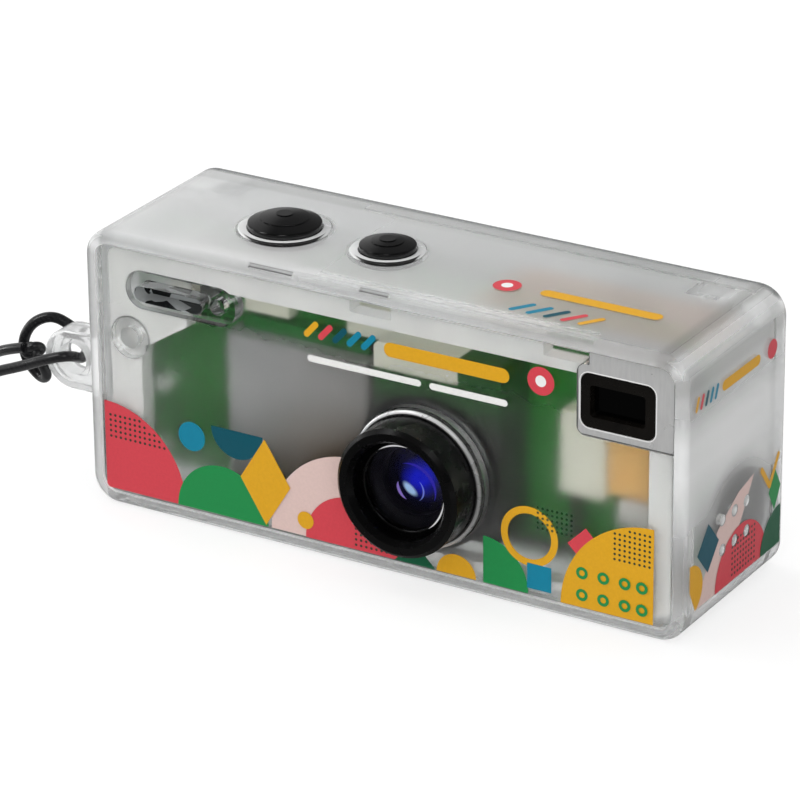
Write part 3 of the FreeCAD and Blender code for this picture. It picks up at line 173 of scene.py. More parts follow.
class Shading:
    """A node tree with short calls for what is added to it."""

    def __init__(self, owner):
        owner.use_nodes = True
        self.tree = owner.node_tree
        self.place = self.add("TexCoord").outputs["Object"]

    def add(self, kind, **settings):
        node = self.tree.nodes.new("ShaderNode" + kind)
        for key, value in settings.items():
            setattr(node, key, value)
        return node

    def link(self, source, target):
        self.tree.links.new(source, target)

    def put(self, socket, value):
        """Links a value that a node gives, or sets a fixed one."""
        if isinstance(value, bpy.types.NodeSocket):
            self.link(value, socket)
        else:
            socket.default_value = value

    def feed(self, node, **values):
        """Sets or links inputs by name, with _ for a space."""
        for key, value in values.items():
            self.put(node.inputs[key.replace("_", " ")], value)

    def noise(self, size, detail=3.0, stretch=(1, 1, 1), shift=0.0):
        """A noise whose features are about this many millimetres wide."""
        mapping = self.add("Mapping")
        self.feed(mapping, Vector=self.place, Scale=stretch, Location=(shift, shift, shift))
        node = self.add("TexNoise")
        self.feed(node, Vector=mapping.outputs[0], Scale=1 / (size * MM))
        self.feed(node, Detail=detail, Roughness=NOISE_ROUGHNESS)
        return node.outputs["Fac"]

    def spread(self, value, low, high, start=0.3, end=0.7, smooth=False):
        """A value from start to end as low to high."""
        node = self.add("MapRange")
        if smooth:
            node.interpolation_type = "SMOOTHSTEP"
        self.feed(node, Value=value, From_Min=start, From_Max=end, To_Min=low, To_Max=high)
        return node.outputs[0]

    def math(self, operation, a, b=0.0):
        node = self.add("Math", operation=operation)
        for socket, value in zip(node.inputs, (a, b)):
            self.put(socket, value)
        return node.outputs[0]

    def times(self, first, *others):
        """The product of several values."""
        for other in others:
            first = self.math("MULTIPLY", first, other)
        return first

    def plus(self, first, *others):
        """The sum of several values."""
        for other in others:
            first = self.math("ADD", first, other)
        return first

    def most(self, first, *others):
        """The highest of several values."""
        for other in others:
            first = self.math("MAXIMUM", first, other)
        return first

    def rest(self, share):
        """What a share leaves of 1."""
        return self.math("SUBTRACT", 1.0, share)

    def length(self, u, v):
        """The length of an arrow with these two parts."""
        return self.math("SQRT", self.plus(self.times(u, u), self.times(v, v)))

    def mix(self, share, a, b):
        """Colour a where share is 0 and b where it is 1."""
        node = self.add("Mix", data_type="RGBA")
        for index, value in zip(MIX_INPUTS, (share, a, b)):
            self.put(node.inputs[index], (*value, 1) if isinstance(value, tuple) else value)
        return node.outputs[MIX_RESULT]

    def over(self, tone, *coats):
        """A colour with others laid over it in turn, each as (share, colour)."""
        for share, colour in coats:
            tone = self.mix(share, tone, colour)
        return tone

    def mottle(self, size, a, b, **shape):
        """Two colours in soft patches."""
        return self.mix(self.uneven(size, 0.0, 1.0, **shape), a, b)

    def uneven(self, size, low, high, **shape):
        """A number that wanders between two others."""
        return self.spread(self.noise(size, **shape), low, high)

    def axis(self, index):
        """The place along one axis, in metres."""
        node = self.add("SeparateXYZ")
        self.link(self.place, node.inputs[0])
        return node.outputs[index]

    def along(self, index, edge, low, high, smooth=False):
        """A value that goes from low to high across an edge on an axis."""
        return self.spread(self.axis(index), low, high, edge[0] * MM, edge[1] * MM, smooth)

    def past(self, index, edge, smooth=False):
        """0 before an edge on an axis and 1 past it."""
        return self.along(index, edge, 0.0, 1.0, smooth)

    def before(self, index, edge, smooth=False):
        """1 before an edge on an axis and 0 past it."""
        return self.along(index, edge, 1.0, 0.0, smooth)

    def offset(self, index, middle):
        """How far along an axis a place is from a middle, in metres."""
        return self.math("SUBTRACT", self.axis(index), middle * MM)

    def beyond(self, index, middle, half):
        """How far outside a span on an axis a place is, in metres, and 0 in the span."""
        away = self.math("ABSOLUTE", self.offset(index, middle))
        return self.most(self.math("SUBTRACT", away, half * MM), 0.0)

    def band(self, index, low, high, soft):
        """1 between two places on an axis, falling to 0 outside them."""
        away = self.math("ABSOLUTE", self.offset(index, (low + high) / 2))
        half = (high - low) / 2
        return self.spread(away, 1.0, 0.0, half * MM, (half + soft) * MM, True)

    def distance(self, axes, middle):
        """The distance from a line along the third axis, in metres."""
        return self.length(*(self.offset(index, at) for index, at in zip(axes, middle)))

    def box_distance(self, middle, half):
        """The distance from a box in the X and Z axes, in metres."""
        return self.length(
            self.beyond(X, middle[0], half[0]),
            self.beyond(Z, middle[1], half[1]),
        )

    def disc(self, away, edge, radius=0.0, smooth=False):
        """1 at small distances and 0 past an edge, which is counted from the radius."""
        start, end = (radius + part for part in edge)
        return self.spread(away, 1.0, 0.0, start * MM, end * MM, smooth)


class Material(Shading):
    """A material with one Principled shader."""

    def __init__(self, name):
        self.material = bpy.data.materials.new(name)
        super().__init__(self.material)
        self.shader = next(n for n in self.tree.nodes if n.type == "BSDF_PRINCIPLED")

    def surface(self, **values):
        """Sets or links the shader's inputs, where three numbers are a colour."""
        for key, value in values.items():
            if isinstance(value, tuple) and len(value) == 3:
                values[key] = (*value, 1)
        self.feed(self.shader, **values)

    def bump(self, height, strength, depth=0.05):
        node = self.add("Bump")
        self.feed(node, Height=height, Strength=strength, Distance=depth * MM)
        self.link(node.outputs[0], self.shader.inputs["Normal"])


# The clear case

PLASTIC_IOR = 1.49

# Its zones
FROST_X = (-28.5, 28.5)
FROST_Y = (-8.9, 8.9)
FROST_Z = (0.5, 24.9)
FROST_SOFT = 0.04
CEILING_Z = (23.1, 24.1)
RIGHT_WALL_X = (27.0, 27.8)
LEFT_WALL_X = (-29.2, -27.6)
EYELET_X = (-29.4, -29.2)
BOSS_X = (22.0, 23.2)
BOSS_Y = (2.6, 4.2)
LIP_Z = (CASE_TOP + 0.03, CASE_TOP + 0.06)

# Its rims, where two of these outer faces are near, and how many near ones count as a rim
RIM_LEFT_X = (-28.6, -28.1)
RIM_FRONT_Y = (-8.9, -8.2)
RIM_BACK_Y = (7.6, 8.1)
RIM_TOP_Z = (24.2, 24.8)
RIM_FACES = (1.1, 1.9)

# The polished ring and the painted shade round the top buttons, counted from the button's radius.
# The painted shade lies in a seam and in a crescent, which is what one disc leaves of another that
# is moved.
COLLAR_POLISH = (0.85, 1.15)
COLLAR_SEAM = (0.08, 0.12)
CRESCENT_INSIDE = (0.5, 0.6)
CRESCENT_OUTSIDE = (0.2, 0.4)
CRESCENT_MOVE = (0.49, -0.81)

# The painted shade line in a notch
NOTCH_LINE_Y = (-8.74, -8.58)
NOTCH_FOOT_Z = (24.9, 24.95)
NOTCH_PALE_Z = (25.1, 25.28)

# The painted shade of the speaker seen blurred through the right wall, as (y, z), and the walls of
# its sound holes
SPEAKER_AT = (0.5, 7.6)
SPEAKER_EDGE = (3.4, 6.8)
HOLE_WALL_EDGE = (0.47, 0.52)

# The warm light from the blocks below the top
WARM_X = (10.0, 25.5)
WARM_Y = (-4.5, 0.5)

# The shade at the ceiling's right and back and high on the right wall, and how strong it is at
# the last two
SHADE_X = (26.4, 27.2)
SHADE_Y = (6.4, 7.6)
SHADE_Z = (22.4, 23.2)
BACK_SHADE = 0.4
WALL_SHADE = 0.7

# Its tones, among them painted light and shade, and how strongly some of them show
CASE_TONES = ((0.94, 0.95, 0.95), (0.98, 0.98, 0.98))
WARM_TONE = (0.98, 0.82, 0.74)
WARM_SHARE = 0.6
SPEAKER_SHADE_TONE = (0.5, 0.5, 0.49)
SPEAKER_SHADE_SHARE = 0.38
SHADE_TONE = (0.4, 0.4, 0.38)
SHADE_SHARE = 0.45
RIM_SHADE_TONE = (0.28, 0.29, 0.29)
PAINTED_SHADE_TONE = (0.02, 0.02, 0.02)
NOTCH_SHARE = 0.75

# How much rougher some of its parts are, how clear it is and how much of that some parts lose
RIM_ROUGH = 0.16
EYELET_ROUGH = 0.12
CASE_CLEAR = 0.9
EYELET_MILK = 0.14
LEFT_WALL_MILK = 0.3
GAP_MILK = 0.4
HOLE_MILK = 0.6


def collar_marks(m):
    """A polished ring round each top button, and painted shade in a seam and a crescent by it."""
    polished, dark = [], []
    for at, r in BUTTONS:
        away = m.distance((X, Y), at)
        moved = m.distance((X, Y), [a + b for a, b in zip(at, CRESCENT_MOVE)])
        polished.append(m.disc(away, COLLAR_POLISH, r))
        inside = m.disc(away, CRESCENT_INSIDE, r)
        dark.append(m.times(m.rest(inside), m.disc(moved, CRESCENT_OUTSIDE, r)))
        dark.append(m.disc(away, COLLAR_SEAM, r))
    return m.most(*polished), m.most(*dark)


def rim_share(m):
    """1 along the rims, where two outer faces meet."""
    near = m.plus(
        m.before(X, RIM_LEFT_X), m.before(Y, RIM_FRONT_Y),
        m.past(Y, RIM_BACK_Y), m.past(Z, RIM_TOP_Z),
    )
    return m.spread(near, 0.0, 1.0, *RIM_FACES)


def notch_shade(m):
    """Painted shade lines in the pry notches, lifted at one height."""
    across = m.most(*(m.band(X, left, right, 0.02) for left, right in NOTCHES))
    pale = m.times(m.band(Z, *NOTCH_PALE_Z, 0.04), 0.8)
    return m.times(across, m.band(Y, *NOTCH_LINE_Y, 0.02), m.past(Z, NOTCH_FOOT_Z), m.rest(pale))


def hole_walls(m):
    """1 at the walls of the sound holes, all along X."""
    holes = [(y, z) for y in HOLE_ROW_Y for z in HOLE_ROW_Z]
    return m.most(*(m.disc(m.distance((Y, Z), at), HOLE_WALL_EDGE) for at in holes))


def case_milk(m, ceiling, right_wall, eyelet, speaker):
    """How milky the plastic is: most on the ceiling's left and high on the right wall."""
    screws = m.times(
        m.spread(m.math("ABSOLUTE", m.axis(X)), 0.0, 1.0, *(x * MM for x in BOSS_X), True),
        m.along(X, (-20, 20), 0.07, 0.15), m.past(Y, BOSS_Y, True),
    )
    above = m.times(ceiling, m.plus(m.along(X, (-20, 26), 0.26, 0.05), screws))
    right = m.times(
        right_wall, m.along(Z, (8, 15), 0.04, 0.52), m.along(Z, (17, 20.5), 1.0, 0.3, True),
        m.rest(speaker),
    )
    left = m.times(m.band(X, *LEFT_WALL_X, 0.5), LEFT_WALL_MILK)
    return m.plus(above, right, left, m.times(eyelet, EYELET_MILK))


def clear_case():
    """Clear plastic: polished outside and round the buttons, frosted on the inside of its walls."""
    m = Material("clear_case")
    ceiling = m.past(Z, CEILING_Z, True)
    right_wall = m.past(X, RIGHT_WALL_X, True)
    eyelet = m.before(X, EYELET_X)
    rims = rim_share(m)
    blur = m.disc(m.distance((Y, Z), SPEAKER_AT), SPEAKER_EDGE, smooth=True)
    speaker = m.times(right_wall, blur)
    polished, collar_shade = (m.times(mark, ceiling) for mark in collar_marks(m))
    dull = m.rest(polished)

    inside = m.times(
        m.band(X, *FROST_X, FROST_SOFT), m.band(Y, *FROST_Y, FROST_SOFT),
        m.band(Z, *FROST_Z, FROST_SOFT),
    )
    frost = m.plus(m.spread(ceiling, 0.4, 0.62, 0.0, 1.0), m.uneven(5.0, -0.06, 0.06))
    m.surface(IOR=PLASTIC_IOR, Roughness=m.plus(
        m.uneven(7.0, 0.03, 0.09, shift=0.2), m.times(inside, frost, dull),
        m.times(rims, RIM_ROUGH), m.times(eyelet, EYELET_ROUGH),
    ))

    # Painted shade in the seams and crescents round the buttons and along the notch lines
    dark = m.most(collar_shade, m.times(notch_shade(m), NOTCH_SHARE))
    warm = m.times(m.band(X, *WARM_X, 4.0), m.band(Y, *WARM_Y, 3.5), ceiling)
    shade = m.most(
        m.times(ceiling, m.band(X, *SHADE_X, 0.7)),
        m.times(ceiling, m.band(Y, *SHADE_Y, 0.6), BACK_SHADE),
        m.times(right_wall, m.band(Z, *SHADE_Z, 0.8), WALL_SHADE),
    )
    m.surface(Base_Color=m.over(
        m.mottle(9.0, *CASE_TONES),
        (m.times(warm, WARM_SHARE), WARM_TONE),
        # Painted shade where the speaker shows through the right wall
        (m.times(speaker, SPEAKER_SHADE_SHARE), SPEAKER_SHADE_TONE),
        (m.times(shade, SHADE_SHARE), SHADE_TONE),
        # Painted shade along the rims, strongest at the back
        (m.times(rims, m.along(Y, (7.0, 7.6), 0.42, 1.0)), RIM_SHADE_TONE),
        (dark, PAINTED_SHADE_TONE),
    ))

    opaque = m.plus(
        m.times(case_milk(m, ceiling, right_wall, eyelet, speaker), dull),
        m.times(m.past(Z, LIP_Z), m.along(Y, (-2.0, 2.0), 0.5, 0.12)),
        m.times(dark, GAP_MILK),
        m.times(hole_walls(m), right_wall, HOLE_MILK),
    )
    m.surface(Transmission_Weight=m.math("SUBTRACT", CASE_CLEAR, opaque))
    m.bump(m.noise(4.0, detail=1.0), 0.05, 0.2)
    return m.material


# The front cover

COVER_BACK = -7.5
COVER_X = 27.82
COVER_Z = (1.18, 24.22)
COVER_FROST_Z = (17, 20)

# The flash slot as a box with round ends, and the boss behind it
FLASH_AT = (-20.7, 20.25)
FLASH_HALF = (2.75, 0.0)
FLASH_R = 0.7
FLASH_BOSS_X = (-26.3, -19.9)
FLASH_BOSS_Z = (18.2, 18.4)

# How the facets of the flash lie
FACET_TURN_DEG = 35
FACET_STRETCH = (1.0, 1.0, 0.3)

COVER_TONES = ((0.95, 0.96, 0.95), (0.99, 0.99, 0.99))
COVER_LINE_TONE = (0.3, 0.3, 0.3)
COVER_RIB_TONE = (0.68, 0.69, 0.69)
FLASH_BOSS_TONE = (0.96, 0.97, 0.97)
SLOT_REFLECTION_TONES = ((0.01, 0.012, 0.012), (0.42, 0.44, 0.44))
COVER_RIB_SHARE = 0.8
FLASH_BOSS_MILK = 0.5
SLOT_MILK = 0.8


def slanted_facets(m, size, start):
    """Long slanted patches, with 1 where a random number for each is over the start."""
    turn = m.add("Mapping")
    rotation = (0, math.radians(FACET_TURN_DEG), 0)
    m.feed(turn, Vector=m.place, Rotation=rotation, Scale=FACET_STRETCH)
    facets = m.add("TexVoronoi")
    m.feed(facets, Vector=turn.outputs[0], Scale=1 / (size * MM))
    return m.spread(facets.outputs["Color"], 0.0, 1.0, start, start + 0.06)


def clear_cover():
    """Clear plastic: polished in front, softly frosted on its back and edges."""
    m = Material("clear_cover")
    foot, top = COVER_Z
    edge = m.rest(m.times(m.band(X, -COVER_X, COVER_X, 0.01), m.band(Z, foot, top, 0.01)))
    outline = m.most(m.past(Z, (top - 0.1, top)), m.past(X, (COVER_X - 0.1, COVER_X)))
    back = m.most(m.band(Y, COVER_BACK - 0.03, COVER_BACK + 0.03, 0.02), edge)
    behind = m.past(Y, (COVER_BACK + 0.06, COVER_BACK + 0.12))
    boss = m.times(behind, m.band(X, *FLASH_BOSS_X, 1.6), m.past(Z, FLASH_BOSS_Z))
    slot = m.disc(m.box_distance(FLASH_AT, FLASH_HALF), (0.03, 0.08), FLASH_R)

    frost = m.plus(m.uneven(3.0, -0.03, 0.05), m.along(Z, COVER_FROST_Z, 0.32, 0.14))
    rough = m.plus(m.uneven(8.0, 0.02, 0.06, shift=0.4), m.times(back, frost))
    tone = m.over(
        m.mottle(9.0, *COVER_TONES),
        (m.times(edge, outline), COVER_LINE_TONE),
        (m.times(behind, COVER_RIB_SHARE), COVER_RIB_TONE),
        (boss, FLASH_BOSS_TONE),
        # Painted reflections in the flash slot: dark and pale slanted facets
        (slot, m.mix(slanted_facets(m, 1.5, 0.58), *SLOT_REFLECTION_TONES)),
    )
    opaque = m.most(m.times(boss, FLASH_BOSS_MILK), m.times(slot, SLOT_MILK))
    m.surface(Base_Color=tone, Roughness=rough, IOR=PLASTIC_IOR)
    m.surface(Transmission_Weight=m.rest(opaque))
    m.bump(m.noise(5.0, detail=1.0), 0.04, 0.2)
    return m.material


# Other materials

# The viewfinder's cup, and the flat face of its housing within an outline of painted shade
FINDER_AT = (22.615, 19.94)
FINDER_HALF = (2.575, 1.55)
FINDER_R = 0.8
HOUSING_X = (18.99, 27.68)
HOUSING_Z = (16.91, 24.12)

# The cream strip on the lens block, and the trim ring's outer edge, where a highlight is painted
STRIP_X = (6.7, 6.8)
STRIP_Z = (17.7, 17.8)
TRIM_EDGE_R = (5.9, 5.96)
TRIM_EDGE_Y = (-9.6, -9.1)

# Curved lines of painted reflection in the inner lens, as (radius, width, towards, reach, colour)
# with angles in degrees, and the oval painted glint at their middle
LENS_REFLECTION_LINES = (
    (1.9, 0.14, 45, 70, (0.03, 0.02, 0.5)),
    (1.1, 0.08, -5, 50, (0.2, 0.28, 0.8)),
    (1.1, 0.22, 205, 42, (0.4, 0.28, 0.8)),
)
GLINT_AT = (3.5, 8.6)
GLINT_TURN = (0.77, 0.64)
GLINT_FLAT = 1.8
GLINT_EDGE = (0.35, 0.85)
GLOW_AT = (4.3, 9.6)

# Curved glints on the ring in front of the glass, as (radius, width, towards, reach)
RETAINER_GLINTS = ((3.85, 0.09, 105, 22), (3.88, 0.09, -28, 24))

# The row of resistors along X: where it starts, its pitch, the middle of each and its ends
RESISTOR_START = 10.1
RESISTOR_PITCH = 1.6
RESISTOR_MIDDLE = 0.5
RESISTOR_ENDS = (0.28, 0.3)

DISPLAY_X = (-17.2, 4.2)
DISPLAY_Z = (7.6, 17.8)
LAMP_FRONT_Y = (-5.3, -5.1)
METAL_GRAIN = 1.0

# Keeps a division away from 0
TINY = 1e-9


def moulded(name, dark, light, rough, patch=3.0, grain=0.12, bump=0.15, **fixed):
    """A moulding: two near tones in soft patches, uneven gloss and a fine grain."""
    m = Material(name)
    m.surface(Base_Color=m.mottle(patch, dark, light), **fixed)
    m.surface(Roughness=m.uneven(patch / 2, *rough, shift=0.3))
    m.bump(m.noise(grain, detail=2.0), bump)
    return m.material


def metal(name, dark, light, rough, shine, stretch=(1, 1, 1)):
    """Brushed or plain metal, with shine as how metallic it is."""
    m = Material(name)
    m.surface(Base_Color=m.mottle(METAL_GRAIN, dark, light, stretch=stretch), Metallic=shine)
    m.surface(Roughness=m.uneven(METAL_GRAIN / 2, *rough, stretch=stretch))
    m.bump(m.noise(METAL_GRAIN / 3, stretch=stretch), 0.08, 0.02)
    return m.material


def dark_window(name, tint, rough):
    """A dark glossy pane."""
    m = Material(name)
    m.surface(Base_Color=m.mottle(2.0, tint, tuple(part * 1.6 for part in tint)))
    m.surface(Roughness=m.uneven(4.0, rough, rough + 0.05), Specular_IOR_Level=0.25)
    return m.material


def rear_plastic():
    """Milky plastic with a fine grain."""
    m = Material("rear_plastic")
    m.surface(Base_Color=m.mottle(6.0, (0.76, 0.77, 0.77), (0.85, 0.86, 0.86)))
    m.surface(Roughness=m.uneven(3.0, 0.38, 0.5), IOR=PLASTIC_IOR, Transmission_Weight=0.6)
    m.bump(m.noise(0.15, detail=2.0), 0.12)
    return m.material


def housing_plastic():
    """Grey frosted plastic: a vertical grain, a painted highlight round the cup and an outline of
    painted shade.
    """
    m = Material("frosted_grey")
    grain = m.mottle(0.25, (0.48, 0.48, 0.48), (0.54, 0.54, 0.535), stretch=(1, 1, 0.15))
    # A painted highlight round the cup
    cup_highlight = m.disc(m.box_distance(FINDER_AT, FINDER_HALF), (0.16, 0.2), FINDER_R)
    tone = m.mix(cup_highlight, grain, (0.95, 0.95, 0.94))
    face = m.times(m.band(X, *HOUSING_X, 0.03), m.band(Z, *HOUSING_Z, 0.03))
    # Painted shade outside the flat face
    m.surface(Base_Color=m.mix(face, (0.09, 0.09, 0.09), tone), IOR=PLASTIC_IOR)
    m.surface(Roughness=m.uneven(1.5, 0.26, 0.36), Transmission_Weight=0.25)
    m.bump(m.noise(0.6, detail=1.0, stretch=(1, 1, 0.2)), 0.02)
    return m.material


def board_green():
    """Solder mask over copper: darker gaps, lighter tracks and rows of small vias."""
    m = Material("board_green")
    turn = m.add("Mapping")
    m.feed(turn, Vector=m.place, Rotation=(math.radians(90), 0, 0), Scale=(1 / MM,) * 3)
    tracks = m.add("TexBrick", offset=0.37)
    m.feed(tracks, Vector=turn.outputs[0], Scale=0.35, Bias=-0.2)
    m.feed(tracks, Mortar_Size=0.05, Mortar_Smooth=0.4, Mortar=(1, 1, 1, 1))
    m.feed(tracks, Color1=(0.0, 0.0, 0.0, 1), Color2=(0.35, 0.35, 0.35, 1))
    cells = m.add("TexVoronoi")
    m.feed(cells, Vector=m.place, Scale=1 / (1.9 * MM))
    tone = m.over(
        m.mottle(6.0, (0.006, 0.1, 0.008), (0.012, 0.14, 0.016)),
        (m.along(X, (0, 14), 0.0, 0.7, True), (0.02, 0.24, 0.022)),
    )
    copper = m.mix(tracks.outputs["Color"], tone, (0.03, 0.25, 0.035))
    vias = m.spread(cells.outputs["Distance"], 1.0, 0.0, 0.07, 0.1)
    m.surface(Base_Color=m.mix(vias, copper, (0.3, 0.32, 0.2)))
    m.surface(Roughness=m.uneven(2.0, 0.28, 0.42), Coat_Weight=0.3, Coat_Roughness=0.2)
    m.bump(tracks.outputs["Color"], 0.3, 0.03)
    return m.material


def cell_foil():
    """Satin foil, grey at the upper left, with a brown painted shadow towards the lens foot."""
    m = Material("cell_foil")
    low = m.plus(m.before(Z, (3.0, 15.0), True), 0.25)
    right = m.plus(m.past(X, (-15.0, -4.0), True), 0.3)
    # Painted brown shadow, deepest low and to the right
    foot_shadow = m.spread(m.times(low, right), 0.0, 1.0, 0.1, 1.05)
    grey = m.mottle(1.2, (0.42, 0.42, 0.42), (0.52, 0.52, 0.52), stretch=(1, 1, 0.35))
    m.surface(Base_Color=m.mix(foot_shadow, grey, (0.1, 0.055, 0.015)), Metallic=0.35)
    m.surface(Roughness=m.uneven(2.5, 0.3, 0.42))
    m.bump(m.noise(0.8, detail=4.0), 0.2)
    return m.material


def lens_block():
    """Dark plastic with a green film higher up and a cream strip along its top."""
    m = Material("lens_block")
    height = m.plus(m.axis(Z), m.uneven(4.0, -0.6 * MM, 0.6 * MM))
    film = m.spread(height, 0.0, 1.0, 13.5 * MM, 17.5 * MM, True)
    green = m.mottle(2.0, (0.012, 0.08, 0.012), (0.018, 0.11, 0.02))
    tone = m.over(
        m.mottle(4.0, (0.016, 0.016, 0.015), (0.028, 0.028, 0.027), shift=0.1),
        (film, green),
        (m.times(m.before(X, STRIP_X), m.past(Z, STRIP_Z)), (0.84, 0.84, 0.72)),
    )
    m.surface(Base_Color=tone, Roughness=m.uneven(2.0, 0.4, 0.55))
    m.bump(m.noise(0.15, detail=2.0), 0.15)
    return m.material


def trim_metal():
    """Turned metal: a painted highlight on its outer edge, brightest at the left, round a step and
    flank painted dark as shade.
    """
    m = Material("trim_metal")
    outer = m.rest(m.disc(m.distance((X, Z), LENS_AT), TRIM_EDGE_R))
    edge = m.times(outer, m.band(Y, *TRIM_EDGE_Y, 0.05))
    right = m.past(X, (LENS_AT[0], LENS_AT[0] + 6.0))
    # Painted highlight, bright at the left and dim at the right, over painted shade
    bright = m.mix(right, (0.95, 0.95, 0.95), (0.3, 0.3, 0.3))
    dark = m.mottle(0.6, (0.03, 0.03, 0.03), (0.05, 0.05, 0.05))
    m.surface(Base_Color=m.mix(edge, dark, bright), Metallic=0.4)
    m.surface(Roughness=m.uneven(1.0, 0.25, 0.32))
    return m.material


def coated_glass():
    """The front lens: clear, and its coating leaves only a faint violet reflection."""
    m = Material("coated_glass")
    m.surface(Base_Color=m.mottle(3.0, (0.9, 0.9, 0.98), (0.95, 0.95, 1.0)))
    m.surface(Roughness=m.uneven(2.0, 0.0, 0.015), IOR=1.52, Transmission_Weight=1.0)
    m.surface(Specular_Tint=(0.03, 0.02, 0.12))
    return m.material


def arc(m, middle, radius, width, towards, reach):
    """A curved line round a place, widest towards one direction and gone past its reach."""
    u, v = m.offset(X, middle[0]), m.offset(Z, middle[1])
    away = m.length(u, v)
    a = math.radians(towards)
    ahead = m.plus(m.times(u, math.cos(a)), m.times(v, math.sin(a)))
    turn = m.math("DIVIDE", ahead, away)
    share = m.spread(turn, 0.0, 1.0, math.cos(math.radians(reach)), 1.0)
    off = m.math("ABSOLUTE", m.math("SUBTRACT", away, radius * MM))
    half = m.plus(m.times(share, width * MM), TINY)
    return m.spread(m.rest(m.math("DIVIDE", off, half)), 0.0, 1.0, 0.0, 0.5, True)


def oval_glint(m):
    """A slanted oval in the inner lens, where a glint is painted."""
    u, v = m.offset(X, GLINT_AT[0]), m.offset(Z, GLINT_AT[1])
    cosine, sine = GLINT_TURN
    along = m.math("SUBTRACT", m.times(u, cosine), m.times(v, sine))
    across = m.times(m.plus(m.times(u, sine), m.times(v, cosine)), GLINT_FLAT)
    return m.disc(m.length(along, across), GLINT_EDGE, smooth=True)


def inner_glass():
    """The inner lens: its coating's deep blue reflection, painted, with a painted glint and curved
    lines.
    """
    m = Material("inner_glass")
    away = m.distance((X, Z), GLOW_AT)
    veil = m.times(m.disc(away, (1.6, 2.8), smooth=True), 0.03)
    glow = m.times(m.disc(away, (0.2, 1.9), smooth=True), m.uneven(1.4, 0.6, 1.0, detail=1.0))
    # Painted reflections: a blue glow, curved lines and a glint
    tone = m.over(
        m.mix(m.most(veil, glow), (0.0, 0.0, 0.001), (0.006, 0.012, 0.75)),
        *((arc(m, GLINT_AT, *shape), colour) for *shape, colour in LENS_REFLECTION_LINES),
        (oval_glint(m), (0.5, 0.75, 1.0)),
    )
    m.surface(Base_Color=tone, Specular_IOR_Level=0.1, Roughness=m.uneven(1.0, 0.2, 0.26))
    return m.material


def retainer_black():
    """A black ring with two curved glints."""
    m = Material("retainer_black")
    glints = m.most(*(arc(m, LENS_AT, *shape) for shape in RETAINER_GLINTS))
    black = m.mottle(2.0, (0.0008, 0.0008, 0.0008), (0.0016, 0.0016, 0.0016))
    m.surface(Base_Color=m.mix(glints, black, (0.85, 0.84, 0.86)), Specular_IOR_Level=0.3)
    m.surface(Roughness=m.uneven(1.0, 0.2, 0.3))
    return m.material


def clear_window():
    """The flash window: slanted facets, some dark and some pale, painted as reflections of its
    reflector.
    """
    m = Material("clear_window")
    facets = slanted_facets(m, 1.3, 0.6)
    # Painted reflections: dark and pale facets
    m.surface(Base_Color=m.mix(facets, (0.002, 0.003, 0.003), (0.3, 0.32, 0.32)))
    m.surface(Roughness=m.uneven(1.0, 0.05, 0.15), IOR=PLASTIC_IOR, Transmission_Weight=0.1)
    return m.material


def lamp():
    """A pale yellow phosphor dome on a dark package."""
    m = Material("lamp")
    phosphor = m.mottle(0.3, (0.7, 0.68, 0.5), (0.85, 0.83, 0.68))
    package = m.mottle(0.3, (0.1, 0.1, 0.1), (0.16, 0.16, 0.16))
    m.surface(Base_Color=m.mix(m.before(Y, LAMP_FRONT_Y), package, phosphor))
    m.surface(Roughness=m.uneven(0.6, 0.3, 0.45))
    m.bump(m.noise(0.1), 0.15)
    return m.material


def resistor():
    """Dark ceramic with bright ends."""
    m = Material("resistor")
    inside = m.math("MODULO", m.offset(X, RESISTOR_START), RESISTOR_PITCH * MM)
    away = m.math("ABSOLUTE", m.math("SUBTRACT", inside, RESISTOR_MIDDLE * MM))
    ends = m.rest(m.disc(away, RESISTOR_ENDS))
    m.surface(Base_Color=m.mix(ends, (0.03, 0.03, 0.03), (0.6, 0.6, 0.58)), Metallic=ends)
    m.surface(Roughness=m.uneven(0.4, 0.3, 0.5))
    m.bump(m.noise(0.1), 0.1)
    return m.material


def cord_material():
    """Smooth black cord with a faint twist."""
    m = Material("cord")
    twist = m.add("TexWave", wave_type="BANDS", bands_direction="DIAGONAL")
    m.feed(twist, Vector=m.place, Scale=900.0, Distortion=1.5, Detail=1.0)
    m.surface(Base_Color=m.mix(twist.outputs["Fac"], (0.006, 0.006, 0.007), (0.011, 0.011, 0.012)))
    m.surface(Roughness=m.uneven(0.8, 0.24, 0.34), Coat_Weight=0.6, Coat_Roughness=0.18)
    m.bump(twist.outputs["Fac"], 0.05, 0.02)
    return m.material


def display_face():
    """A dark display, a little paler within its edge seal."""
    m = Material("display_face")
    face = m.times(m.band(X, *DISPLAY_X, 0.3), m.band(Z, *DISPLAY_Z, 0.3))
    m.surface(Base_Color=m.mix(face, (0.02, 0.02, 0.021), (0.05, 0.055, 0.062)))
    m.surface(Roughness=m.uneven(3.0, 0.22, 0.3), Coat_Weight=0.4)
    m.bump(m.noise(0.1), 0.05)
    return m.material


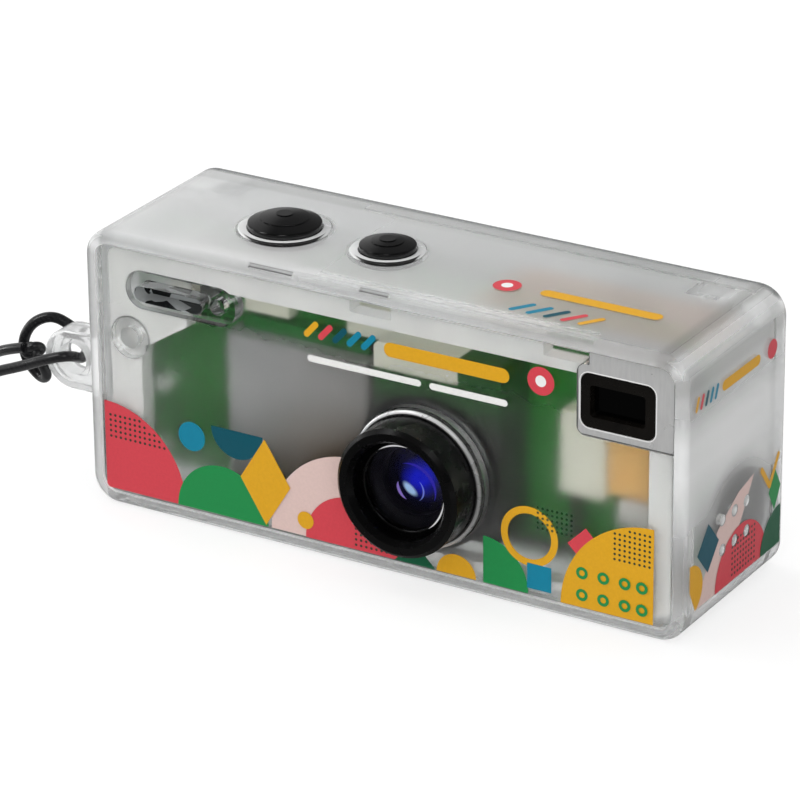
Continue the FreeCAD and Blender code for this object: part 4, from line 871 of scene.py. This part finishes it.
# Plain mouldings, as what moulded takes
MOULDINGS = {
    "frosted_white": dict(
        dark=(0.88, 0.88, 0.87), light=(0.95, 0.95, 0.93), rough=(0.4, 0.55), bump=0.08),
    "black_matte": dict(
        dark=(0.008, 0.008, 0.009), light=(0.016, 0.016, 0.017), rough=(0.36, 0.5),
        patch=2.0, grain=0.08),
    "barrel_black": dict(
        dark=(0.0006, 0.0006, 0.0007), light=(0.0012, 0.0012, 0.0013), rough=(0.24, 0.32),
        grain=0.06, bump=0.04, Specular_IOR_Level=0.3),
    "black_gloss": dict(
        dark=(0.0012, 0.0012, 0.0013), light=(0.0025, 0.0025, 0.0027), rough=(0.12, 0.2),
        patch=4.0, grain=1.2, bump=0.02),
    "bezel_black": dict(
        dark=(0.003, 0.0025, 0.002), light=(0.005, 0.004, 0.003), rough=(0.2, 0.3),
        patch=2.0, grain=0.1, bump=0.05),
    "bore_black": dict(
        dark=(0.001, 0.001, 0.001), light=(0.002, 0.002, 0.002), rough=(0.45, 0.6),
        patch=2.0, grain=0.1, bump=0.1, Specular_IOR_Level=0.05),
    "dark_block": dict(
        dark=(0.016, 0.015, 0.014), light=(0.03, 0.028, 0.026), rough=(0.4, 0.55),
        patch=4.0, grain=0.15),
    "chip_black": dict(
        dark=(0.018, 0.018, 0.019), light=(0.03, 0.03, 0.031), rough=(0.45, 0.6),
        patch=2.0, grain=0.1, bump=0.2),
    "silicon": dict(
        dark=(0.03, 0.035, 0.06), light=(0.07, 0.08, 0.13), rough=(0.1, 0.2),
        patch=1.5, grain=0.2, bump=0.02),
    "tape_green": dict(
        dark=(0.012, 0.13, 0.02), light=(0.022, 0.18, 0.035), rough=(0.25, 0.4),
        patch=2.0, grain=0.3),
    "cream": dict(
        dark=(0.86, 0.86, 0.72), light=(0.93, 0.93, 0.8), rough=(0.4, 0.5),
        patch=2.0, grain=0.2),
    "orange": dict(
        dark=(1.0, 0.56, 0.18), light=(1.0, 0.62, 0.22), rough=(0.35, 0.5),
        patch=2.0, grain=0.2),
    "white": dict(
        dark=(0.86, 0.86, 0.84), light=(0.93, 0.93, 0.91), rough=(0.35, 0.5),
        patch=2.0, grain=0.2),
    "wire_sheath": dict(
        dark=(0.02, 0.012, 0.012), light=(0.04, 0.025, 0.022), rough=(0.35, 0.5),
        patch=1.0, grain=0.1),
    "foam": dict(
        dark=(0.02, 0.02, 0.02), light=(0.045, 0.045, 0.045), rough=(0.8, 0.95),
        patch=0.4, bump=0.8),
}


def make_materials():
    """All materials but the inks and the floor, by name."""
    made = {name: moulded(name, **look) for name, look in MOULDINGS.items()}
    made.update({
        "clear_case": clear_case(),
        "clear_cover": clear_cover(),
        "rear_plastic": rear_plastic(),
        "frosted_grey": housing_plastic(),
        "retainer_black": retainer_black(),
        "lens_block": lens_block(),
        "coated_glass": coated_glass(),
        "inner_glass": inner_glass(),
        "dark_window": dark_window("dark_window", (0.0001, 0.0001, 0.0001), 0.1),
        "rear_pane": dark_window("rear_pane", (0.004, 0.004, 0.005), 0.03),
        "clear_window": clear_window(),
        "trim_metal": trim_metal(),
        "can_metal": metal("can_metal", (0.8, 0.8, 0.79), (0.92, 0.92, 0.9), (0.4, 0.5), 0.15),
        "steel": metal("steel", (0.5, 0.5, 0.5), (0.62, 0.62, 0.61), (0.2, 0.35), 0.75, (1, 1, 4)),
        "board_green": board_green(),
        "cell_foil": cell_foil(),
        "resistor": resistor(),
        "lamp": lamp(),
        "cord": cord_material(),
        "display_face": display_face(),
    })
    return made


NODE_MATERIALS = {
    "body_shell": "clear_case", "front_cover": "clear_cover", "rear_cover": "rear_plastic",
    "case_screws": "steel", "inner_frame": "frosted_white", "lens_barrel": "barrel_black",
    "lens_trim_ring": "trim_metal", "front_lens": "coated_glass", "lens_spacer": "bore_black",
    "rear_lens": "inner_glass", "lens_cell": "bore_black", "aperture_stop": "bore_black",
    "lens_holder": "lens_block", "light_filter": "inner_glass", "image_sensor": "silicon",
    "viewfinder_housing": "frosted_grey", "viewfinder_frame": "bezel_black",
    "viewfinder_window": "dark_window", "flash_window": "clear_window", "flash_lamp": "lamp",
    "shutter_button": "black_gloss", "shutter_plunger": "black_matte", "shutter_switch": "cream",
    "power_button": "black_gloss", "power_plunger": "black_matte", "power_switch": "cream",
    "main_board": "board_green", "rear_board": "board_green", "board_header": "black_matte",
    "processor_chip": "chip_black", "memory_chip": "chip_black", "board_resistors": "resistor",
    "battery": "cell_foil", "battery_tape": "tape_green", "battery_connector": "cream",
    "capacitor": "orange", "speaker_socket": "white", "battery_wires": "wire_sheath",
    "speaker_wires": "wire_sheath", "display_module": "display_face", "display_gasket": "foam",
    "display_pane": "rear_pane", "rear_switches": "black_matte", "card_socket": "steel",
    "memory_card": "chip_black", "port_shell": "steel", "port_tongue": "black_matte",
    "speaker": "dark_block", "speaker_gasket": "foam", "microphone": "can_metal",
    "strap_cord": "cord", "cord_knot": "cord",
    "rear_button_1": "black_matte", "rear_button_2": "black_matte", "rear_button_3": "black_matte",
    "rear_plunger_1": "black_matte", "rear_plunger_2": "black_matte",
    "rear_plunger_3": "black_matte",
}


# Cord

CURVE_STEPS = 24
BEVEL_STEPS = 6


def make_curve(name, points, radius, closed=False):
    """A round curve of one thickness."""
    data = bpy.data.curves.new(name, "CURVE")
    data.dimensions = "3D"
    data.resolution_u = CURVE_STEPS
    data.bevel_depth = radius * MM
    data.bevel_resolution = BEVEL_STEPS
    data.use_fill_caps = True
    spline = data.splines.new("NURBS")
    spline.points.add(len(points) - 1)
    for target, point in zip(spline.points, points):
        target.co = (*mm(point), 1)
    spline.order_u = 3
    if closed:
        spline.use_cyclic_u = True
    else:
        spline.use_endpoint_u = True
    return add_object(name, data)


def knot_route():
    """Points along a trefoil."""
    points = []
    for i in range(KNOT_STEPS):
        t = 2 * math.pi * i / KNOT_STEPS
        turn = (
            math.cos(t) - 2 * math.cos(2 * t),
            -math.sin(3 * t),
            math.sin(t) + 2 * math.sin(2 * t),
        )
        points.append([at + size * part for at, size, part in zip(KNOT_AT, KNOT_SIZE, turn)])
    return points


def make_cord(materials):
    """The strap cord and its knot."""
    knot = make_curve("strap_knot", knot_route(), KNOT_CORD_R, True)
    cord = make_curve("strap_loop", CORD_ROUTE, CORD_D / 2)
    for piece, node in ((knot, "cord_knot"), (cord, "strap_cord")):
        piece.data.materials.append(materials["cord"])
        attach(piece, "camera")
        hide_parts(node)


# Lens

def make_retainer(materials):
    """The ring that holds the front glass, with a rounded inner bead."""
    profile = [(RETAINER_OUTER_R, y) for y in RETAINER_SIDE_Y]
    for i in range(BEAD_STEPS + 1):
        t = math.pi * i / BEAD_STEPS
        r = RETAINER_R + RETAINER_BEAD * math.cos(t)
        profile.append((r, RETAINER_Y - RETAINER_BEAD * math.sin(t)))
    count = len(profile)
    vertices, faces = [], []
    for k in range(RETAINER_STEPS):
        a = 2 * math.pi * k / RETAINER_STEPS
        for r, y in profile:
            x, z = LENS_AT[0] + r * math.cos(a), LENS_AT[1] + r * math.sin(a)
            vertices.append(mm((x, y, z)))
        after = (k + 1) % RETAINER_STEPS
        for j in range(count):
            n = (j + 1) % count
            faces.append((k * count + j, k * count + n, after * count + n, after * count + j))
    piece = add_mesh("lens_retainer", vertices, faces)
    piece.data.polygons.foreach_set("use_smooth", [True] * len(faces))
    piece.data.materials.append(materials["retainer_black"])
    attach(piece, "camera")


# Printed shapes: flat ink on the front cover, the right wall and the top

INK = {
    "red": (0.63, 0.055, 0.075),
    "green": (0.012, 0.25, 0.065),
    "yellow": (0.7, 0.36, 0.012),
    "teal": (0.0015, 0.08, 0.115),
    "blue": (0.003, 0.21, 0.33),
    "pink": (0.7, 0.52, 0.48),
    "pine": (0.002, 0.095, 0.04),
    "white": (0.82, 0.82, 0.8),
    "dot": (0.02, 0.045, 0.03),
}
INK_SHADE = 0.93
STRIPES = ("yellow", "red", "teal", "blue", "blue")

# How far the first layer is off its face, and each next one off the one before
INK_LIFT = 0.02
INK_LAYER = 0.014

# The foot of the shapes on the front and on the right wall
FRONT_FOOT = 1.35
SIDE_FOOT = 2.55


def ink_material(name):
    """Flat ink with a fine grain."""
    m = Material("ink_" + name)
    colour = INK[name]
    m.surface(Base_Color=m.mottle(0.25, tuple(part * INK_SHADE for part in colour), colour))
    m.surface(Roughness=m.uneven(1.5, 0.28, 0.4))
    m.bump(m.noise(0.1), 0.03, 0.01)
    return m.material


def sector(x, z, r, start=0.0, end=360.0, inner=0.0, steps=40):
    """A disc, ring or part of one, as closed outlines of four or more points."""
    angles = [math.radians(start + (end - start) * i / steps) for i in range(steps + 1)]
    outer = [(x + r * math.cos(a), z + r * math.sin(a)) for a in angles]
    if inner:
        close = [(x + inner * math.cos(a), z + inner * math.sin(a)) for a in angles]
        return [[outer[i], outer[i + 1], close[i + 1], close[i]] for i in range(steps)]
    if end - start >= 360:
        return [outer[:-1]]
    return [[(x, z)] + outer]


def bar(x0, z0, x1, z1, width, steps=10):
    """A straight bar with round ends."""
    a = math.atan2(z1 - z0, x1 - x0)
    r = width / 2
    turn = [math.pi * i / steps - math.pi / 2 for i in range(steps + 1)]
    far = [(x1 + r * math.cos(a + t), z1 + r * math.sin(a + t)) for t in turn]
    near = [(x0 - r * math.cos(a + t), z0 - r * math.sin(a + t)) for t in turn]
    return [far + near]


def diamond(x, z, half_w, half_h):
    """A square or rhombus on its corner."""
    return [[(x - half_w, z), (x, z - half_h), (x + half_w, z), (x, z + half_h)]]


def dots(x0, z0, columns, rows, pitch, r, keep=None):
    """A grid of small discs, as far as a test keeps them."""
    found = []
    for i in range(columns):
        for j in range(rows):
            x, z = x0 + i * pitch, z0 + j * pitch
            if keep is None or keep(x, z):
                found += sector(x, z, r, steps=8)
    return found


def within(x, z, r, inset=0.3):
    """A test for places inside a disc."""
    return lambda u, v: math.hypot(u - x, v - z) < r - inset


def opened(outlines, holes, steps=20):
    """Outlines as triangles with the round holes left open."""
    rings = [ring for x, z, r in holes for ring in sector(x, z, r, steps=steps)]
    found = []
    for outline in outlines:
        loops = [outline] + rings
        points = [Vector(point) for loop in loops for point in loop]
        faces, first = [], 0
        for loop in loops:
            faces.append(list(range(first, first + len(loop))))
            first += len(loop)
        places, _, triangles, _, _, sources = delaunay_2d_cdt(points, [], faces, 1, 1e-5)
        for triangle, source in zip(triangles, sources):
            if source == [0]:
                found.append([tuple(places[i]) for i in triangle])
    return found


def print_piece(name, to_space, layers, inks):
    """One mesh of ink shapes on a face of the case, each layer a little above the last."""
    vertices, faces, slots = [], [], []
    colours = sorted({colour for colour, _ in layers})
    for level, (colour, outlines) in enumerate(layers):
        lift = INK_LIFT + level * INK_LAYER
        for outline in outlines:
            first = len(vertices)
            vertices += [mm(to_space(u, v, lift)) for u, v in outline]
            faces.append(list(range(first, first + len(outline))))
            slots.append(colours.index(colour))
    piece = add_mesh(name, vertices, faces)
    for colour in colours:
        piece.data.materials.append(inks[colour])
    piece.data.polygons.foreach_set("material_index", slots)
    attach(piece, "camera")


def front_layers():
    """The shapes on the front cover, as (ink, outlines) in x and z."""
    foot = FRONT_FOOT
    return [
        ("pink", sector(-2.4, foot, 8.3, 90, 180)),
        ("red", sector(-27.6, foot, 8.2, 0, 90)),
        ("dot", dots(-27.0, 6.3, 13, 5, 0.5, 0.13, within(-27.6, foot, 8.2))),
        ("green", sector(-15.6, foot, 4.6, 0, 180)),
        ("teal", sector(-14.0, 9.6, 2.6, 180, 360)),
        ("blue", sector(-18.6, 8.1, 1.35)),
        ("yellow", diamond(-11.2, 5.5, 2.5, 4.0)),
        ("red", sector(-2.6, foot, 4.6, 0, 180)),
        ("dot", dots(-2.2, 1.8, 9, 8, 0.5, 0.13, within(-2.6, foot, 4.6))),
        ("yellow", sector(-7.2, 2.9, 0.8)),
        ("pine", [[(1.6, foot), (5.6, foot), (3.6, 3.4)]]),
        ("yellow", sector(7.6, foot, 1.9, 0, 180)),
        ("green", sector(10.2, foot, 4.3, 0, 90)),
        ("yellow", sector(14.6, 6.6, 2.7, inner=2.05)),
        ("dot", dots(15.4, 7.6, 8, 5, 0.45, 0.12)),
        ("blue", [[(14.4, 1.9), (16.7, 1.9), (16.7, 4.2), (14.4, 4.2)]]),
        ("red", diamond(19.9, 6.9, 1.7, 1.7)),
        ("yellow", sector(26.2, foot, 8.6, 90, 180)),
        ("dot", dots(22.6, 6.5, 8, 7, 0.46, 0.12, within(26.2, foot, 8.6))),
    ] + [
        ("green", sector(x, z, 0.55, inner=0.27, steps=16))
        for x in (19.6, 21.6, 23.6, 25.2) for z in (2.5, 4.5)
    ] + [
        (colour, bar(x, 20.3, x + 0.9, 21.3, 0.55))
        for x, colour in zip((-6.6, -5.2, -3.8, -2.4, -1.0), STRIPES)
    ] + [
        ("yellow", bar(1.6, 20.6, 12.2, 20.6, 1.3)),
        ("white", bar(-6.2, 18.2, 4.2, 18.2, 0.6)),
        ("white", bar(5.6, 18.2, 12.4, 18.2, 0.6)),
        ("red", sector(15.8, 20.9, 1.25)),
        ("white", sector(15.8, 20.9, 0.5)),
    ]


def side_layers():
    """The shapes on the right wall, in y and z, with its sound holes left open."""
    foot = SIDE_FOOT
    holes = [(y, z, HOLE_OPEN_R) for y in HOLE_ROW_Y for z in HOLE_ROW_Z]
    shapes = [
        ("pink", [[(-7.2, foot), (-2.4, foot), (3.2, 10.8), (0.4, 10.2), (-3.2, 8.2)]]),
        ("teal", diamond(-4.9, 7.3, 1.9, 2.2)),
        ("yellow", sector(-8.1, 4.6, 2.3, -63, 90)),
        ("red", sector(1.0, foot, 4.6, 0, 180)),
        ("dot", dots(-0.6, 3.1, 9, 7, 0.5, 0.13, within(1.0, foot, 4.6))),
        ("pine", sector(8.1, foot, 3.6, 90, 180)),
        ("green", diamond(6.9, 7.9, 1.1, 1.9)),
        ("yellow", bar(4.4, 10.6, 5.9, 8.6, 0.5)),
        ("yellow", bar(5.9, 8.6, 7.4, 10.9, 0.5)),
    ] + [
        (colour, bar(y, 20.6, y + 0.35, 21.5, 0.4))
        for y, colour in zip((-7.6, -6.8, -6.0, -5.2, -4.4), STRIPES)
    ] + [
        ("yellow", bar(-2.8, 21.05, 3.0, 21.05, 0.95)),
        ("red", sector(5.6, 21.1, 0.85)),
    ]
    return [(colour, opened(outlines, holes)) for colour, outlines in shapes]


def top_layers():
    """The shapes on the top, in x and y."""
    return [
        (colour, bar(x, -6.6, x + 1.1, -5.0, 0.55))
        for x, colour in zip((11.6, 13.2, 14.8, 16.4, 18.0), reversed(STRIPES))
    ] + [
        ("yellow", bar(12.6, -2.4, 22.6, -2.4, 1.25)),
        ("red", sector(8.9, -2.6, 1.2)),
        ("white", sector(8.9, -2.6, 0.5)),
    ]


def make_print():
    """The shapes on the three faces."""
    inks = {name: ink_material(name) for name in INK}
    print_piece("front_print", lambda u, v, d: (u, COVER_FACE - d, v), front_layers(), inks)
    print_piece("side_print", lambda u, v, d: (CASE_RIGHT + d, u, v), side_layers(), inks)
    print_piece("top_print", lambda u, v, d: (u, v, CASE_TOP + d), top_layers(), inks)


# Stage and light

FLOOR_HALF_M = 3
FLOOR_DROP = 0.02
FLOOR_TONE = (0.3, 0.3, 0.3)
FLOOR_MIRRORED_TONE = (0.06, 0.06, 0.06)
WHITE = (1.0, 1.0, 1.0)

# Soft panels in metres, as (name, direction, distance, width, depth, radiance, in reflections)
LAMPS = (
    ("key", (-0.62, 0.1, 0.8), 0.34, 0.24, 0.24, 2.4, False),
    ("top", (0.1, -0.1, 1.0), 0.6, 0.5, 0.5, 0.6, False),
    ("fill", (0.45, -0.9, 0.25), 0.7, 0.5, 0.34, 4.6, False),
    ("left_panel", (-0.62, -0.5, 0.6), 0.6, 0.1, 0.26, 4.0, True),
    ("side_panel", (-0.99, -0.15, 0.08), 0.5, 0.06, 0.2, 4.0, True),
    ("front_panel", (0.3, -0.75, 0.6), 0.6, 0.16, 0.1, 5.0, True),
)
LAMP_AIM = (0, 0, 12)


def make_floor():
    """A white floor: it glows for the camera and behind the clear parts, and reflects darkly."""
    h = FLOOR_HALF_M
    floor = add_mesh("floor", [(-h, -h, 0), (h, -h, 0), (h, h, 0), (-h, h, 0)], [(0, 1, 2, 3)])
    floor.location = (0, 0, -FLOOR_DROP * MM)
    m = Material("floor")
    path = m.add("LightPath")
    bright = m.most(m.past(Y, (-40, 0), True), m.past(X, (30, 60), True))
    mirrored = m.times(path.outputs["Is Glossy Ray"], m.rest(bright))
    m.surface(Base_Color=m.mix(mirrored, FLOOR_TONE, FLOOR_MIRRORED_TONE))
    m.surface(Roughness=0.9, Specular_IOR_Level=0.0)
    under = m.along(Y, (0, 30), 0.75, 0.5, True)
    through = m.times(path.outputs["Is Transmission Ray"], bright, under)
    shown = m.most(m.times(path.outputs["Is Camera Ray"], 0.7), through)
    m.surface(Emission_Color=WHITE, Emission_Strength=shown)
    floor.data.materials.append(m.material)


def make_world():
    """White to the camera, bright through the clear parts and a dim studio in reflections."""
    world = bpy.data.worlds.new("studio")
    bpy.context.scene.world = world
    w = Shading(world)
    shader = next(n for n in w.tree.nodes if n.type == "BACKGROUND")
    w.place = w.add("TexCoord").outputs["Generated"]
    path = w.add("LightPath")
    behind = w.spread(w.axis(Y), 0.06, 0.16, 0.0, 0.6, True)
    leftward = w.spread(w.axis(X), 0.35, 0.0, -0.62, -0.4, True)
    front = w.spread(w.axis(Y), 1.0, 0.0, -0.5, -0.1, True)
    low = w.spread(w.axis(Z), 0.8, 0.0, 0.1, 0.4, True)
    left = w.spread(w.axis(X), 1.0, 0.0, -0.1, 0.3, True)
    bright = w.spread(w.axis(Y), 1.6, 0.8, -0.4, 0.4, True)
    through = w.math("SUBTRACT", bright, w.times(front, low, left))
    seen = w.over(
        (0.7, 0.7, 0.7),
        (path.outputs["Is Glossy Ray"], w.plus(behind, leftward)),
        (path.outputs["Is Transmission Ray"], through),
        (path.outputs["Is Camera Ray"], WHITE),
    )
    w.link(seen, shader.inputs["Color"])


def make_lamp(name, towards, distance, width, depth, radiance, mirrored):
    """A soft panel that faces the object, seen in reflections or not."""
    data = bpy.data.lights.new(name, "AREA")
    data.shape = "RECTANGLE"
    data.size = width
    data.size_y = depth
    data.energy = radiance * width * depth * math.pi
    panel = add_object(name, data)
    away = Vector(towards).normalized()
    panel.location = mm(LAMP_AIM) + away * distance
    panel.rotation_euler = away.to_track_quat("Z", "Y").to_euler()
    panel.visible_glossy = mirrored


def set_scene():
    """The view transform and how often light is followed."""
    scene = bpy.context.scene
    scene.view_settings.view_transform = "Standard"
    scene.cycles.max_bounces = 20
    scene.cycles.transmission_bounces = 16
    scene.cycles.glossy_bounces = 12
    scene.cycles.diffuse_bounces = 4
    scene.cycles.transparent_max_bounces = 16
    scene.cycles.sample_clamp_indirect = 6.0


def dress_nodes(materials):
    """Gives each node of the frame its material."""
    for name, node in NODES.items():
        node.data.materials.clear()
        node.data.materials.append(materials[NODE_MATERIALS[name]])


make_camera()
MATERIALS = make_materials()
make_cord(MATERIALS)
dress_nodes(MATERIALS)
make_retainer(MATERIALS)
make_print()
make_floor()
make_world()
for lamp_values in LAMPS:
    make_lamp(*lamp_values)
set_scene()
